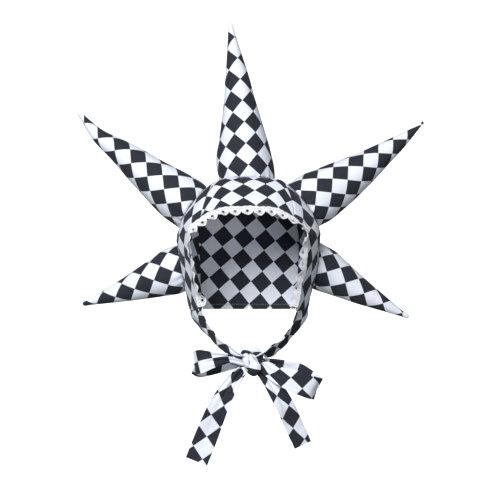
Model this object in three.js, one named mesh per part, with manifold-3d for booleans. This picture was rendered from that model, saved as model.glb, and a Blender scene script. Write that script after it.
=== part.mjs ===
// A jester bonnet of checked cloth: a flared band round the face, a crown strip and a flat back,
// five stuffed spikes set in the seam behind the band, lace round the face and a bow under the chin.
// Millimetres, +X to the wearer's left, +Y to the back of the head, +Z up.
// The origin is inside the crown, where the top of the head sits.

import * as THREE from 'three';
import * as BufferGeometryUtils from 'three/addons/utils/BufferGeometryUtils.js';
import Module from 'manifold-3d';

const wasm = await Module();
wasm.setup();

// Cloth, lace and clearances
const CLOTH = 1.6;
const TIE_CLOTH = 1.4;
const LACE_THICKNESS = 0.9;
const FIT_GAP = 0.3;

// Bonnet
const BONNET_WIDTH = 184;
const BONNET_HEIGHT = 168;
const BAND_DEPTH = 50;
const CROWN_DEPTH = 92;
const FACE_WIDTH = 148;
const FACE_SHIFT = -2;
const FACE_DROP = 38;
const FACE_HEM_WIDTH = 118;
const SEAM_HEM_WIDTH = 156;
const BACK_WIDTH = 136;
const BACK_DROP = 16;
const BACK_HEM_WIDTH = 130;
const BACK_DOME = 5;
const EAR_DROP = 70;
const SEAM_RISE = 4;
const CENTRE_PANEL_BACK_ANGLE = 27;
const CENTRE_PANEL_FACE_ANGLE = 57;

// Spikes
const TOP_SPIKE_LENGTH = 208;
const UPPER_SPIKE_LENGTH = 192;
const LOWER_SPIKE_LENGTH = 141;
const TOP_SPIKE_WIDTH = 71;
const UPPER_SPIKE_WIDTH = 68;
const LOWER_SPIKE_WIDTH = 61;
const SPIKE_TIP_RADIUS = 3.2;
const SPIKE_ROOT_DEPTH = 16;

// Lace
const LACE_WIDTH = 12;
const SCALLOP_PITCH = 13;
const SCALLOP_DEPTH = 2.6;
const EYELET_DIAMETER = 2.6;
const EYELET_PLACE = 0.62;
const LACE_END_MARGIN = 5;

// Ties and bow
const TIE_WIDTH = 29;
const STRAP_TOP_WIDTH = 51;
const STRAP_TUCK = 6;
const STRAP_BULGE_ANGLE = 43;
const STRAP_HEM_SHARE = 0.25;
const KNOT_WIDTH = 25;
const KNOT_HEIGHT = 36;
const KNOT_DEPTH = 20;
const KNOT_DROP = 64;
const KNOT_FORWARD = 14;
const KNOT_SIDE = 3;
const LEFT_LOOP_LENGTH = 63;
const RIGHT_LOOP_LENGTH = 82;
const LOOP_DEPTH = 24;
const LEFT_LOOP_LEAN = 0;
const RIGHT_LOOP_LEAN = 24.5;
const LEFT_TAIL_LEAN = 27;
const RIGHT_TAIL_LEAN = 30;
const LEFT_TAIL_LENGTH = 129;
const RIGHT_TAIL_LENGTH = 109;
const LEFT_TAIL_TWIST = 6;
const RIGHT_TAIL_TWIST = 42;

// Where the ties leave the knot, as shares of its width sideways and of its height up
const STRAP_END = { side: 0.3, up: 0.3 };
const LOOP_START = { side: 0.35, up: 0 };
const TAIL_START = { side: 0.42, up: -0.27 };

// Places that follow from the sizes; the spikes stand behind the seam, their fronts level with it
const SEAM_Y = -UPPER_SPIKE_WIDTH / 2;
const FACE_Y = SEAM_Y - BAND_DEPTH;
const BACK_Y = SEAM_Y + CROWN_DEPTH;
const HEM_Z = -BONNET_HEIGHT;
const LEFT = -1;
const RIGHT = 1;

// Three rings that the cloth's middle layer passes through, each a horseshoe open at the hem
const FACE_RING = {
  y: FACE_Y, shift: FACE_SHIFT, half: FACE_WIDTH / 2, hemHalf: FACE_HEM_WIDTH / 2, top: -FACE_DROP,
};
const SEAM_RING = {
  y: SEAM_Y, shift: 0, half: BONNET_WIDTH / 2, hemHalf: SEAM_HEM_WIDTH / 2, top: SEAM_RISE,
};
const BACK_RING = {
  y: BACK_Y, shift: 0, half: BACK_WIDTH / 2, hemHalf: BACK_HEM_WIDTH / 2, top: -BACK_DROP,
};

// The arch over the ears, flat on top with straight shoulders: angle from the crown, share of the
// ring's half width, share of its height over the ears
const ARCH = [
  { angle: 0, across: 0, up: 1 },
  { angle: 22, across: 0.41, up: 0.955 },
  { angle: 38, across: 0.62, up: 0.78 },
  { angle: 54, across: 0.79, up: 0.54 },
  { angle: 72, across: 0.945, up: 0.24 },
  { angle: 90, across: 1, up: 0 },
];

// How the cloth bulges between two rings: share of the way along, share of the change made by then
const BAND_BULGE = [
  { along: 0, change: 0 },
  { along: 0.35, change: 0.42 },
  { along: 0.7, change: 0.79 },
  { along: 1, change: 1 },
];
const CROWN_BULGE = [
  { along: 0, change: 0 },
  { along: 0.3, change: 0.12 },
  { along: 0.6, change: 0.34 },
  { along: 0.85, change: 0.67 },
  { along: 1, change: 1 },
];

// Soft dents of the bonnet: angle round the horseshoe from the crown, place from face (0) over the
// seam (1) to the back (2), depth as a share of the band's depth, and reach of each dent
const DENTS = [
  { angle: -98, place: 0.55, depth: 0.07, angleReach: 12, placeReach: 0.35 },
  { angle: -132, place: 0.35, depth: 0.06, angleReach: 16, placeReach: 0.4 },
  { angle: 74, place: 0.3, depth: 0.05, angleReach: 10, placeReach: 0.3 },
  { angle: 148, place: 0.2, depth: 0.09, angleReach: 14, placeReach: 0.4 },
  { angle: 20, place: 1.55, depth: 0.06, angleReach: 18, placeReach: 0.3 },
  { angle: -38, place: 1.6, depth: 0.06, angleReach: 16, placeReach: 0.25 },
];

// Outline of every stuffed spike: share of the length from the root, share of the root's width
const SPIKE_PROFILE = [
  { along: 0, width: 0.97 },
  { along: 0.1, width: 1 },
  { along: 0.25, width: 0.86 },
  { along: 0.5, width: 0.595 },
  { along: 0.75, width: 0.325 },
  { along: 0.93, width: 0.13 },
];

// Spikes: angle of the root round the bonnet, lean of the axis from upright, both in degrees, and
// sag of the middle as a share of the length
const TOP_SPIKE = { length: TOP_SPIKE_LENGTH, width: TOP_SPIKE_WIDTH };
const UPPER_SPIKE = { length: UPPER_SPIKE_LENGTH, width: UPPER_SPIKE_WIDTH };
const LOWER_SPIKE = { length: LOWER_SPIKE_LENGTH, width: LOWER_SPIKE_WIDTH };
const SPIKES = [
  { name: 'spike_top', size: TOP_SPIKE, root: -3, lean: -5.5, sag: 0.012 },
  { name: 'spike_upper_left', size: UPPER_SPIKE, root: -57, lean: -50, sag: -0.022 },
  { name: 'spike_upper_right', size: UPPER_SPIKE, root: 54.5, lean: 55.8, sag: 0.022 },
  { name: 'spike_lower_left', size: LOWER_SPIKE, root: -130, lean: -110.5, sag: -0.014 },
  { name: 'spike_lower_right', size: LOWER_SPIKE, root: 127, lean: 119.5, sag: 0.014 },
];

// Lean of the lace: angle round the opening, and degrees that the lace turns from pointing into
// the opening (0) towards the viewer (90)
const LACE_LEAN = [
  { angle: -180, lean: 40 },
  { angle: -160, lean: 62 },
  { angle: -130, lean: 76 },
  { angle: -95, lean: 72 },
  { angle: -62, lean: 34 },
  { angle: -30, lean: 44 },
  { angle: 0, lean: 46 },
  { angle: 35, lean: 50 },
  { angle: 70, lean: 76 },
  { angle: 95, lean: 70 },
  { angle: 125, lean: 34 },
  { angle: 180, lean: 30 },
];

// Straps from the band's lower corners to the knot. Along is the share of the way down, out and
// forward are shares of the drop, turn is the tie's turn from facing the viewer, fold its crease
const STRAP_ROWS = [
  { along: 0, out: 0, forward: 0, width: 1.76, turn: 70, fold: 0 },
  { along: 0.1, out: 0.07, forward: 0, width: 1.6, turn: 69, fold: 6 },
  { along: 0.26, out: 0.11, forward: 0.01, width: 1.12, turn: 66, fold: 14 },
  { along: 0.45, out: 0.135, forward: 0.02, width: 1, turn: 72, fold: 18 },
  { along: 0.62, out: 0.14, forward: 0.03, width: 0.9, turn: 73, fold: 20 },
  { along: 0.8, out: 0.085, forward: 0.02, width: 0.62, turn: 66, fold: 22 },
  { along: 1, out: 0, forward: 0, width: 0.4, turn: 55, fold: 24 },
];

// The loops from the knot along their front layers and back behind: share of the length out, share
// of the depth, width of the tie there, and lift as a share of the tie's width
const LEFT_LOOP_ROWS = [
  { out: 0, deep: -0.12, width: 0.42, lift: 0 },
  { out: 0.3, deep: -0.34, width: 0.42, lift: 0.15 },
  { out: 0.6, deep: -0.5, width: 0.68, lift: 0.12 },
  { out: 0.85, deep: -0.44, width: 1, lift: 0.05 },
  { out: 1, deep: 0, width: 1, lift: -0.04 },
  { out: 0.88, deep: 0.4, width: 1, lift: -0.18 },
  { out: 0.6, deep: 0.5, width: 0.9, lift: -0.12 },
  { out: 0.3, deep: 0.34, width: 0.6, lift: -0.1 },
  { out: 0, deep: 0.12, width: 0.42, lift: 0 },
];
const RIGHT_LOOP_ROWS = [
  { out: 0, deep: -0.12, width: 0.42, lift: 0 },
  { out: 0.3, deep: -0.34, width: 0.69, lift: -0.14 },
  { out: 0.6, deep: -0.5, width: 0.96, lift: -0.09 },
  { out: 0.88, deep: -0.4, width: 1, lift: -0.04 },
  { out: 1, deep: 0, width: 1, lift: 0 },
  { out: 0.88, deep: 0.4, width: 1, lift: 0.07 },
  { out: 0.6, deep: 0.5, width: 1, lift: 0.18 },
  { out: 0.3, deep: 0.34, width: 0.72, lift: 0.22 },
  { out: 0, deep: 0.12, width: 0.42, lift: 0.04 },
];

// A tail: share of its length down, sideways swing and depth wave as shares of the length, width of
// the tie there, share of the tail's twist, and its crease in degrees
const TAIL_ROWS = [
  { along: 0, swing: 0, wave: 0, width: 0.45, twist: 0, fold: 24 },
  { along: 0.16, swing: 0.037, wave: 0.02, width: 0.65, twist: 0.3, fold: 15 },
  { along: 0.42, swing: 0.05, wave: 0.05, width: 0.88, twist: 0.8, fold: 7 },
  { along: 0.72, swing: 0.025, wave: 0.02, width: 1, twist: 0.95, fold: 3 },
  { along: 1, swing: 0, wave: 0.05, width: 1, twist: 1, fold: 2 },
];

// Fineness of the meshes
const PANEL_STEP = 12;
const ARCH_TO_WIDTH = 2.5;
const CENTRE_PANEL_COLUMNS = 16;
const SIDE_PANEL_COLUMNS = 20;
const BAND_ROWS = 5;
const CROWN_ROWS = 6;
const TIE_STEPS = 18;
const LOOP_STEPS = 26;
const TIE_COLUMNS = 4;
const SPIKE_SIDES = 20;
const SPIKE_STEPS = 10;

const toRadians = THREE.MathUtils.degToRad;

// A value read from a table, eased between its rows
function readTable(rows, key, value, at) {
  let index = 0;
  while (index < rows.length - 2 && at > rows[index + 1][key]) {
    index += 1;
  }
  const before = rows[Math.max(index - 1, 0)];
  const start = rows[index];
  const end = rows[index + 1];
  const after = rows[Math.min(index + 2, rows.length - 1)];
  const span = end[key] - start[key];
  const t = THREE.MathUtils.clamp((at - start[key]) / span, 0, 1);
  const startSlope = (end[value] - before[value]) / Math.max(end[key] - before[key], 1e-9) * span;
  const endSlope = (after[value] - start[value]) / Math.max(after[key] - start[key], 1e-9) * span;
  const t2 = t * t;
  const t3 = t2 * t;
  return (2 * t3 - 3 * t2 + 1) * start[value] + (t3 - 2 * t2 + t) * startSlope
    + (3 * t2 - 2 * t3) * end[value] + (t3 - t2) * endSlope;
}

// Ring of the cloth at a place: 0 at the face, 1 at the seam, 2 at the back
function ringAt(place) {
  const onBand = place <= 1;
  const from = onBand ? FACE_RING : SEAM_RING;
  const to = onBand ? SEAM_RING : BACK_RING;
  const along = onBand ? place : place - 1;
  const change = readTable(onBand ? BAND_BULGE : CROWN_BULGE, 'along', 'change', along);
  return {
    y: THREE.MathUtils.lerp(from.y, to.y, along),
    shift: THREE.MathUtils.lerp(from.shift, to.shift, change),
    half: THREE.MathUtils.lerp(from.half, to.half, change),
    hemHalf: THREE.MathUtils.lerp(from.hemHalf, to.hemHalf, change),
    top: THREE.MathUtils.lerp(from.top, to.top, change),
  };
}

// Point on a ring: 0 degrees at the crown, 90 at the ears, 180 at the hem; left is negative
function pointOnRing(ring, angle) {
  const side = Math.sign(angle);
  const turn = Math.abs(angle);
  if (turn <= 90) {
    const across = readTable(ARCH, 'angle', 'across', turn);
    const up = readTable(ARCH, 'angle', 'up', turn);
    const x = ring.shift + side * ring.half * across;
    return new THREE.Vector3(x, ring.y, -EAR_DROP + (ring.top + EAR_DROP) * up);
  }
  const down = (turn - 90) / 90;
  const hemTurn = Math.PI * 0.75;
  const narrowing = (ring.half - ring.hemHalf) * (1 - Math.cos(down * hemTurn)) / (1 - Math.cos(hemTurn));
  const x = ring.shift + side * (ring.half - narrowing);
  return new THREE.Vector3(x, ring.y, -EAR_DROP + (HEM_Z + EAR_DROP) * down);
}

function dentAt(angle, place) {
  let depth = 0;
  for (const dent of DENTS) {
    const across = (angle - dent.angle) / dent.angleReach;
    const along = (place - dent.place) / dent.placeReach;
    depth += dent.depth * BAND_DEPTH * Math.exp(-across * across - along * along);
  }
  return depth;
}

function plainBonnetPoint(angle, place) {
  return pointOnRing(ringAt(place), angle);
}

// Direction out of the cloth within its ring's plane, so that neighbouring rings meet edge to edge
function bonnetNormal(angle, place) {
  const ahead = plainBonnetPoint(Math.min(angle + 1, 180), place);
  const behind = plainBonnetPoint(Math.max(angle - 1, -180), place);
  const around = ahead.sub(behind);
  return new THREE.Vector3(-around.z, 0, around.x).normalize();
}

// Point of the bonnet's cloth, moved out along its normal
function bonnetPoint(angle, place, out = 0) {
  const normal = bonnetNormal(angle, place);
  return plainBonnetPoint(angle, place).addScaledVector(normal, out - dentAt(angle, place));
}

// One closed body from a flat net of corners and triangles, given where each corner's two faces lie
function thickSheet(corners, triangles, facesOf) {
  const count = corners.length;
  const positions = new Float32Array(count * 6);
  corners.forEach((corner, index) => {
    const faces = facesOf(corner);
    faces.front.toArray(positions, index * 3);
    faces.back.toArray(positions, (count + index) * 3);
  });
  const edges = new Map();
  const indices = [];
  for (const [a, b, c] of triangles) {
    indices.push(a, b, c, count + a, count + c, count + b);
    for (const [from, to] of [[a, b], [b, c], [c, a]]) {
      edges.set(`${from},${to}`, [from, to]);
    }
  }
  for (const [from, to] of edges.values()) {
    if (!edges.has(`${to},${from}`)) {
      indices.push(from, count + to, to, from, count + from, count + to);
    }
  }
  const geometry = new THREE.BufferGeometry();
  geometry.setAttribute('position', new THREE.BufferAttribute(positions, 3));
  geometry.setIndex(indices);
  return facingOut(geometry);
}

// Turns a closed geometry inside out if its faces point in
function facingOut(geometry) {
  const position = geometry.getAttribute('position');
  const index = geometry.getIndex().array;
  const a = new THREE.Vector3();
  const b = new THREE.Vector3();
  const c = new THREE.Vector3();
  let volume = 0;
  for (let i = 0; i < index.length; i += 3) {
    a.fromBufferAttribute(position, index[i]);
    b.fromBufferAttribute(position, index[i + 1]);
    c.fromBufferAttribute(position, index[i + 2]);
    volume += a.dot(b.cross(c));
  }
  if (volume < 0) {
    for (let i = 0; i < index.length; i += 3) {
      [index[i + 1], index[i + 2]] = [index[i + 2], index[i + 1]];
    }
  }
  return geometry;
}

// A square net with columns and rows counted from 0, its corners given in shares
function gridNet(columns, rows) {
  const corners = [];
  const triangles = [];
  for (let row = 0; row <= rows; row += 1) {
    for (let column = 0; column <= columns; column += 1) {
      corners.push({ across: column / columns, along: row / rows });
    }
  }
  for (let row = 0; row < rows; row += 1) {
    for (let column = 0; column < columns; column += 1) {
      const corner = row * (columns + 1) + column;
      const above = corner + columns + 1;
      triangles.push([corner, corner + 1, above + 1], [corner, above + 1, above]);
    }
  }
  return { corners, triangles };
}

function toSolid(geometry) {
  const bare = geometry.clone();
  bare.deleteAttribute('normal');
  bare.deleteAttribute('uv');
  const merged = BufferGeometryUtils.mergeVertices(bare, 1e-4);
  return new wasm.Manifold(new wasm.Mesh({
    numProp: 3,
    vertProperties: merged.getAttribute('position').array,
    triVerts: new Uint32Array(merged.getIndex().array),
  }));
}

function fromSolid(solid) {
  const mesh = solid.getMesh();
  const geometry = new THREE.BufferGeometry();
  geometry.setAttribute('position', new THREE.BufferAttribute(mesh.vertProperties, 3));
  geometry.setIndex(new THREE.BufferAttribute(mesh.triVerts, 1));
  return geometry;
}

// The largest loose body that a cut leaves
function largestBody(solid) {
  const bodies = solid.decompose();
  return bodies.reduce((best, body) => (body.volume() > best.volume() ? body : best));
}

// Panel of the bonnet between two places and two edge lines, each given as an angle for a place
function bonnetPanel(firstPlace, lastPlace, leftEdge, rightEdge, columns, rows) {
  const net = gridNet(columns, rows);
  return thickSheet(net.corners, net.triangles, ({ across, along }) => {
    const place = THREE.MathUtils.lerp(firstPlace, lastPlace, along);
    const angle = THREE.MathUtils.lerp(leftEdge(place), rightEdge(place), across);
    return { front: bonnetPoint(angle, place, CLOTH / 2), back: bonnetPoint(angle, place, -CLOTH / 2) };
  });
}

// Angle on the right edge of the centre panel, less at the seam than at the face
function centrePanelAngle(place) {
  return THREE.MathUtils.lerp(CENTRE_PANEL_FACE_ANGLE, CENTRE_PANEL_BACK_ANGLE, place);
}

// Degrees round a ring that one millimetre takes near an angle
function degreesPerMillimetre(place, angle) {
  const step = 2;
  return step / plainBonnetPoint(angle + step, place).distanceTo(plainBonnetPoint(angle, place));
}

function besideCentrePanel(side, gap) {
  return (place) => {
    const angle = centrePanelAngle(place);
    return side * (angle + gap * degreesPerMillimetre(place, angle));
  };
}

const bandPlaceGap = FIT_GAP / 2 / BAND_DEPTH;
const crownPlaceGap = FIT_GAP / 2 / CROWN_DEPTH;
const lastCrownPlace = 2 - crownPlaceGap;
const archColumns = Math.round(BONNET_WIDTH * ARCH_TO_WIDTH / PANEL_STEP);

function bandPanel(leftEdge, rightEdge, columns) {
  return bonnetPanel(0, 1 - bandPlaceGap, leftEdge, rightEdge, columns, BAND_ROWS);
}

function backPanel() {
  const rim = [];
  for (let index = 0; index <= archColumns; index += 1) {
    rim.push(THREE.MathUtils.lerp(-180, 180, index / archColumns));
  }
  const shares = [1, 0.93, 0.78, 0.52, 0.26];
  const corners = [];
  const triangles = [];
  for (const share of shares) {
    rim.forEach((angle) => corners.push({ angle, share }));
  }
  const width = rim.length;
  for (let ring = 0; ring < shares.length - 1; ring += 1) {
    for (let index = 0; index < width - 1; index += 1) {
      const corner = ring * width + index;
      const inner = corner + width;
      triangles.push([corner, corner + 1, inner + 1], [corner, inner + 1, inner]);
    }
  }
  const middle = corners.length;
  corners.push({ angle: 0, share: 0 });
  for (let index = 0; index < width - 1; index += 1) {
    const corner = (shares.length - 1) * width + index;
    triangles.push([corner, corner + 1, middle]);
  }
  const centre = new THREE.Vector3(0, BACK_Y, HEM_Z);
  return thickSheet(corners, triangles, ({ angle, share }) => {
    const edge = bonnetPoint(angle, 2, CLOTH / 2);
    const point = centre.clone().lerp(edge, share);
    const height = Math.min(1, (point.z - HEM_Z) / BONNET_HEIGHT);
    const dome = BACK_DOME * (1 - share * share) * Math.sin(Math.PI * height);
    const front = point.clone().setY(BACK_Y + FIT_GAP / 2 + dome);
    return { front, back: front.clone().setY(front.y + CLOTH) };
  });
}

// Solid inside of the bonnet's outer face, grown by the fit gap, that trims what is set on it
function bonnetCore() {
  const places = [0, 0.25, 0.5, 0.75, 1, 1.14, 1.29, 1.43, 1.57, 1.71, 1.86, 2];
  const columns = archColumns + 12;
  const corners = [];
  for (const place of places) {
    for (let column = 0; column <= columns; column += 1) {
      const angle = THREE.MathUtils.lerp(-180, 180, column / columns);
      const corner = bonnetPoint(angle, place, CLOTH / 2 + FIT_GAP);
      if (Math.abs(angle) === 180) {
        corner.z = HEM_Z - FIT_GAP;
      }
      corners.push(corner);
    }
  }
  const width = columns + 1;
  const positions = corners.flatMap((corner) => corner.toArray());
  const indices = [];
  for (let ring = 0; ring < places.length - 1; ring += 1) {
    for (let column = 0; column < width; column += 1) {
      const next = (column + 1) % width;
      const a = ring * width + column;
      const b = ring * width + next;
      indices.push(a, b, b + width, a, b + width, a + width);
    }
  }
  const lastRing = (places.length - 1) * width;
  for (let column = 1; column < width - 1; column += 1) {
    indices.push(0, column + 1, column, lastRing, lastRing + column, lastRing + column + 1);
  }
  const geometry = new THREE.BufferGeometry();
  geometry.setAttribute('position', new THREE.BufferAttribute(new Float32Array(positions), 3));
  geometry.setIndex(indices);
  return toSolid(facingOut(geometry));
}

// A stuffed cone round an axis that sags a little, its root sunk in the core and trimmed by it
function spike({ root, lean, sag, size }, core) {
  const { length, width } = size;
  const anchor = plainBonnetPoint(root, 1);
  anchor.y = 0;
  const leanAngle = toRadians(lean);
  const axis = new THREE.Vector3(Math.sin(leanAngle), 0, Math.cos(leanAngle));
  const sideways = new THREE.Vector3(Math.cos(leanAngle), 0, -Math.sin(leanAngle));
  const toFront = new THREE.Vector3(0, -1, 0);
  const positions = [];
  const rings = [{ distance: -SPIKE_ROOT_DEPTH, along: 0 }];
  for (let step = 0; step <= SPIKE_STEPS; step += 1) {
    const along = step / SPIKE_STEPS * SPIKE_PROFILE[SPIKE_PROFILE.length - 1].along;
    rings.push({ distance: along * length, along });
  }
  const addRing = (distance, radius, offset) => {
    for (let side = 0; side < SPIKE_SIDES; side += 1) {
      const turn = side / SPIKE_SIDES * Math.PI * 2;
      const point = anchor.clone().addScaledVector(axis, distance)
        .addScaledVector(sideways, offset + radius * Math.cos(turn))
        .addScaledVector(toFront, radius * Math.sin(turn));
      positions.push(...point.toArray());
    }
  };
  for (const ring of rings) {
    const radius = readTable(SPIKE_PROFILE, 'along', 'width', ring.along) * width / 2;
    addRing(ring.distance, radius, sag * length * Math.sin(Math.PI * ring.along));
  }
  const tip = length - SPIKE_TIP_RADIUS;
  addRing(tip, SPIKE_TIP_RADIUS, 0);
  addRing(length - SPIKE_TIP_RADIUS * 0.35, SPIKE_TIP_RADIUS * 0.7, 0);
  const ringCount = rings.length + 2;
  const indices = [];
  for (let ring = 0; ring < ringCount - 1; ring += 1) {
    for (let side = 0; side < SPIKE_SIDES; side += 1) {
      const next = (side + 1) % SPIKE_SIDES;
      const a = ring * SPIKE_SIDES + side;
      const b = ring * SPIKE_SIDES + next;
      indices.push(a, b, b + SPIKE_SIDES, a, b + SPIKE_SIDES, a + SPIKE_SIDES);
    }
  }
  const rootCentre = positions.length / 3;
  positions.push(...anchor.clone().addScaledVector(axis, -SPIKE_ROOT_DEPTH).toArray());
  positions.push(...anchor.clone().addScaledVector(axis, length).toArray());
  const lastRing = (ringCount - 1) * SPIKE_SIDES;
  for (let side = 0; side < SPIKE_SIDES; side += 1) {
    const next = (side + 1) % SPIKE_SIDES;
    indices.push(rootCentre, next, side, rootCentre + 1, lastRing + side, lastRing + next);
  }
  const geometry = new THREE.BufferGeometry();
  geometry.setAttribute('position', new THREE.BufferAttribute(new Float32Array(positions), 3));
  geometry.setIndex(indices);
  return fromSolid(largestBody(toSolid(facingOut(geometry)).subtract(core)));
}

// The face opening's edge as a measured line, so that lace can be laid out along its length
function faceEdge() {
  const samples = [];
  let length = 0;
  let previous = null;
  for (let angle = -180; angle <= 180; angle += 1) {
    const point = bonnetPoint(angle, 0);
    if (previous) {
      length += point.distanceTo(previous);
    }
    samples.push({ angle, length, point });
    previous = point;
  }
  const at = (distance) => {
    const index = samples.findIndex((sample) => sample.length >= distance);
    const end = samples[Math.max(index, 1)];
    const start = samples[Math.max(index, 1) - 1];
    const share = (distance - start.length) / (end.length - start.length);
    return {
      angle: THREE.MathUtils.lerp(start.angle, end.angle, share),
      point: start.point.clone().lerp(end.point, share),
      tangent: end.point.clone().sub(start.point).normalize(),
    };
  };
  return { length, at };
}

function laceTrim() {
  const edge = faceEdge();
  const laceLength = edge.length - 2 * LACE_END_MARGIN;
  const scallops = Math.round(laceLength / SCALLOP_PITCH);
  const pitch = laceLength / scallops;
  const arcSteps = 4;
  const corners = [];
  const lookup = new Map();
  const cornerIndex = (along, across) => {
    const key = `${along.toFixed(4)},${across.toFixed(4)}`;
    if (!lookup.has(key)) {
      lookup.set(key, corners.length);
      corners.push({ along, across });
    }
    return lookup.get(key);
  };
  const triangles = [];
  for (let scallop = 0; scallop < scallops; scallop += 1) {
    const start = LACE_END_MARGIN + scallop * pitch;
    const outline = [];
    for (let step = 0; step <= arcSteps; step += 1) {
      outline.push(new THREE.Vector2(start + pitch * step / arcSteps, 0));
    }
    for (let step = arcSteps; step >= 0; step -= 1) {
      const share = step / arcSteps;
      const across = LACE_WIDTH - SCALLOP_DEPTH * (1 - Math.sin(Math.PI * share));
      outline.push(new THREE.Vector2(start + pitch * share, across));
    }
    const eyelet = [];
    const eyeletSides = 6;
    for (let side = 0; side < eyeletSides; side += 1) {
      const turn = -side / eyeletSides * Math.PI * 2;
      eyelet.push(new THREE.Vector2(
        start + pitch / 2 + EYELET_DIAMETER / 2 * Math.cos(turn),
        LACE_WIDTH * EYELET_PLACE + EYELET_DIAMETER / 2 * Math.sin(turn),
      ));
    }
    const all = outline.concat(eyelet).map((point) => cornerIndex(point.x, point.y));
    for (const [a, b, c] of THREE.ShapeUtils.triangulateShape(outline, [eyelet])) {
      triangles.push([all[a], all[b], all[c]]);
    }
  }
  const forward = new THREE.Vector3(0, -1, 0);
  return thickSheet(corners, triangles, ({ along, across }) => {
    const place = edge.at(along);
    const lean = toRadians(readTable(LACE_LEAN, 'angle', 'lean', place.angle));
    const inward = forward.clone().cross(place.tangent).normalize().negate();
    const direction = inward.clone().multiplyScalar(Math.cos(lean));
    direction.addScaledVector(forward, Math.sin(lean));
    const normal = direction.clone().cross(place.tangent).normalize();
    const root = place.point.clone().addScaledVector(forward, FIT_GAP + LACE_THICKNESS);
    const point = root.addScaledVector(direction, across);
    return {
      front: point.clone().addScaledVector(normal, LACE_THICKNESS / 2),
      back: point.clone().addScaledVector(normal, -LACE_THICKNESS / 2),
    };
  });
}

// A tie laid along stations, each with its centre, its direction across, its width and its fold
function tie(stations, steps) {
  const middles = stations.map((station) => station.centre);
  const centres = new THREE.CatmullRomCurve3(middles, false, 'centripetal');
  const keyed = stations.map((station, index) => ({ ...station, share: index / (stations.length - 1) }));
  const acrossRows = keyed.map(({ share, across }) => ({ share, x: across.x, y: across.y, z: across.z }));
  const net = gridNet(TIE_COLUMNS, steps);
  return thickSheet(net.corners, net.triangles, (corner) => {
    const share = corner.along;
    const centre = centres.getPoint(share);
    const tangent = centres.getTangent(share);
    const across = new THREE.Vector3(
      readTable(acrossRows, 'share', 'x', share),
      readTable(acrossRows, 'share', 'y', share),
      readTable(acrossRows, 'share', 'z', share),
    );
    across.addScaledVector(tangent, -across.dot(tangent)).normalize();
    const normal = tangent.clone().cross(across).normalize();
    const width = readTable(keyed, 'share', 'width', share);
    const fold = toRadians(readTable(keyed, 'share', 'fold', share));
    const offset = (corner.across - 0.5) * width;
    const rise = (Math.abs(offset) - width / 4) * Math.sin(fold);
    const point = centre.clone();
    point.addScaledVector(across, offset * Math.cos(fold)).addScaledVector(normal, rise);
    return {
      front: point.clone().addScaledVector(normal, TIE_CLOTH / 2),
      back: point.clone().addScaledVector(normal, -TIE_CLOTH / 2),
    };
  });
}

const knotCentre = new THREE.Vector3(KNOT_SIDE, FACE_Y - KNOT_FORWARD, HEM_Z - KNOT_DROP);

function knotShape(growth) {
  const knot = new THREE.SphereGeometry(1, 18, 10);
  knot.scale(KNOT_WIDTH / 2 + growth, KNOT_DEPTH / 2 + growth, KNOT_HEIGHT / 2 + growth);
  knot.translate(knotCentre.x, knotCentre.y, knotCentre.z);
  return toSolid(knot);
}

// A tie trimmed by what it meets
function trimmedTie(stations, steps, ...trims) {
  const solid = trims.reduce((left, trim) => left.subtract(trim), toSolid(tie(stations, steps)));
  return fromSolid(largestBody(solid));
}

// Everything over the hem, which the straps stop short of
function spaceOverHem() {
  const box = new THREE.BoxGeometry(BONNET_WIDTH * 2, (BAND_DEPTH + CROWN_DEPTH) * 2, BONNET_HEIGHT);
  box.translate(0, SEAM_Y, HEM_Z - FIT_GAP + BONNET_HEIGHT / 2);
  return toSolid(box);
}

// A place in the knot where a tie starts or ends
function inKnot(side, share) {
  const point = knotCentre.clone();
  point.x += side * KNOT_WIDTH * share.side;
  point.z += KNOT_HEIGHT * share.up;
  return point;
}

// Place on the hem where the strap's top ends, its full width back from the face edge
function strapPlace(side) {
  const corner = plainBonnetPoint(side * 180, 0);
  let place = 0;
  while (place < 1 && plainBonnetPoint(side * 180, place).distanceTo(corner) < STRAP_TOP_WIDTH) {
    place += 0.01;
  }
  return place;
}

function strapStations(side) {
  const frontCorner = bonnetPoint(side * 180, 0);
  const backCorner = bonnetPoint(side * 180, strapPlace(side));
  const start = frontCorner.clone().lerp(backCorner, 0.5);
  start.z = HEM_Z + STRAP_TUCK;
  const end = inKnot(side, STRAP_END);
  const drop = start.distanceTo(end);
  const hemLine = backCorner.clone().sub(frontCorner).setZ(0).normalize();
  const bulge = toRadians(STRAP_BULGE_ANGLE);
  return STRAP_ROWS.map(({ along, out, forward, width, turn, fold }) => {
    const centre = start.clone().lerp(end, along);
    centre.x += side * Math.cos(bulge) * out * drop;
    centre.z -= Math.sin(bulge) * out * drop;
    centre.y -= forward * drop;
    const turned = new THREE.Vector3(side * Math.cos(toRadians(turn)), Math.sin(toRadians(turn)), 0);
    const across = hemLine.clone().lerp(turned, Math.min(1, along / STRAP_HEM_SHARE));
    return { centre, across, width: width * TIE_WIDTH, fold };
  });
}

// A loop out from the knot along its front layer and back behind
function loopStations(side, length, droop, rows) {
  const droopAngle = toRadians(droop);
  const outward = new THREE.Vector3(side * Math.cos(droopAngle), 0, -Math.sin(droopAngle));
  const across = new THREE.Vector3(side * Math.sin(droopAngle), 0, Math.cos(droopAngle));
  return rows.map(({ out, deep, width, lift }) => {
    const centre = inKnot(side, LOOP_START).addScaledVector(outward, out * length);
    centre.y += deep * LOOP_DEPTH;
    centre.addScaledVector(across, lift * TIE_WIDTH);
    return { centre, across, width: width * TIE_WIDTH, fold: 0 };
  });
}

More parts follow.
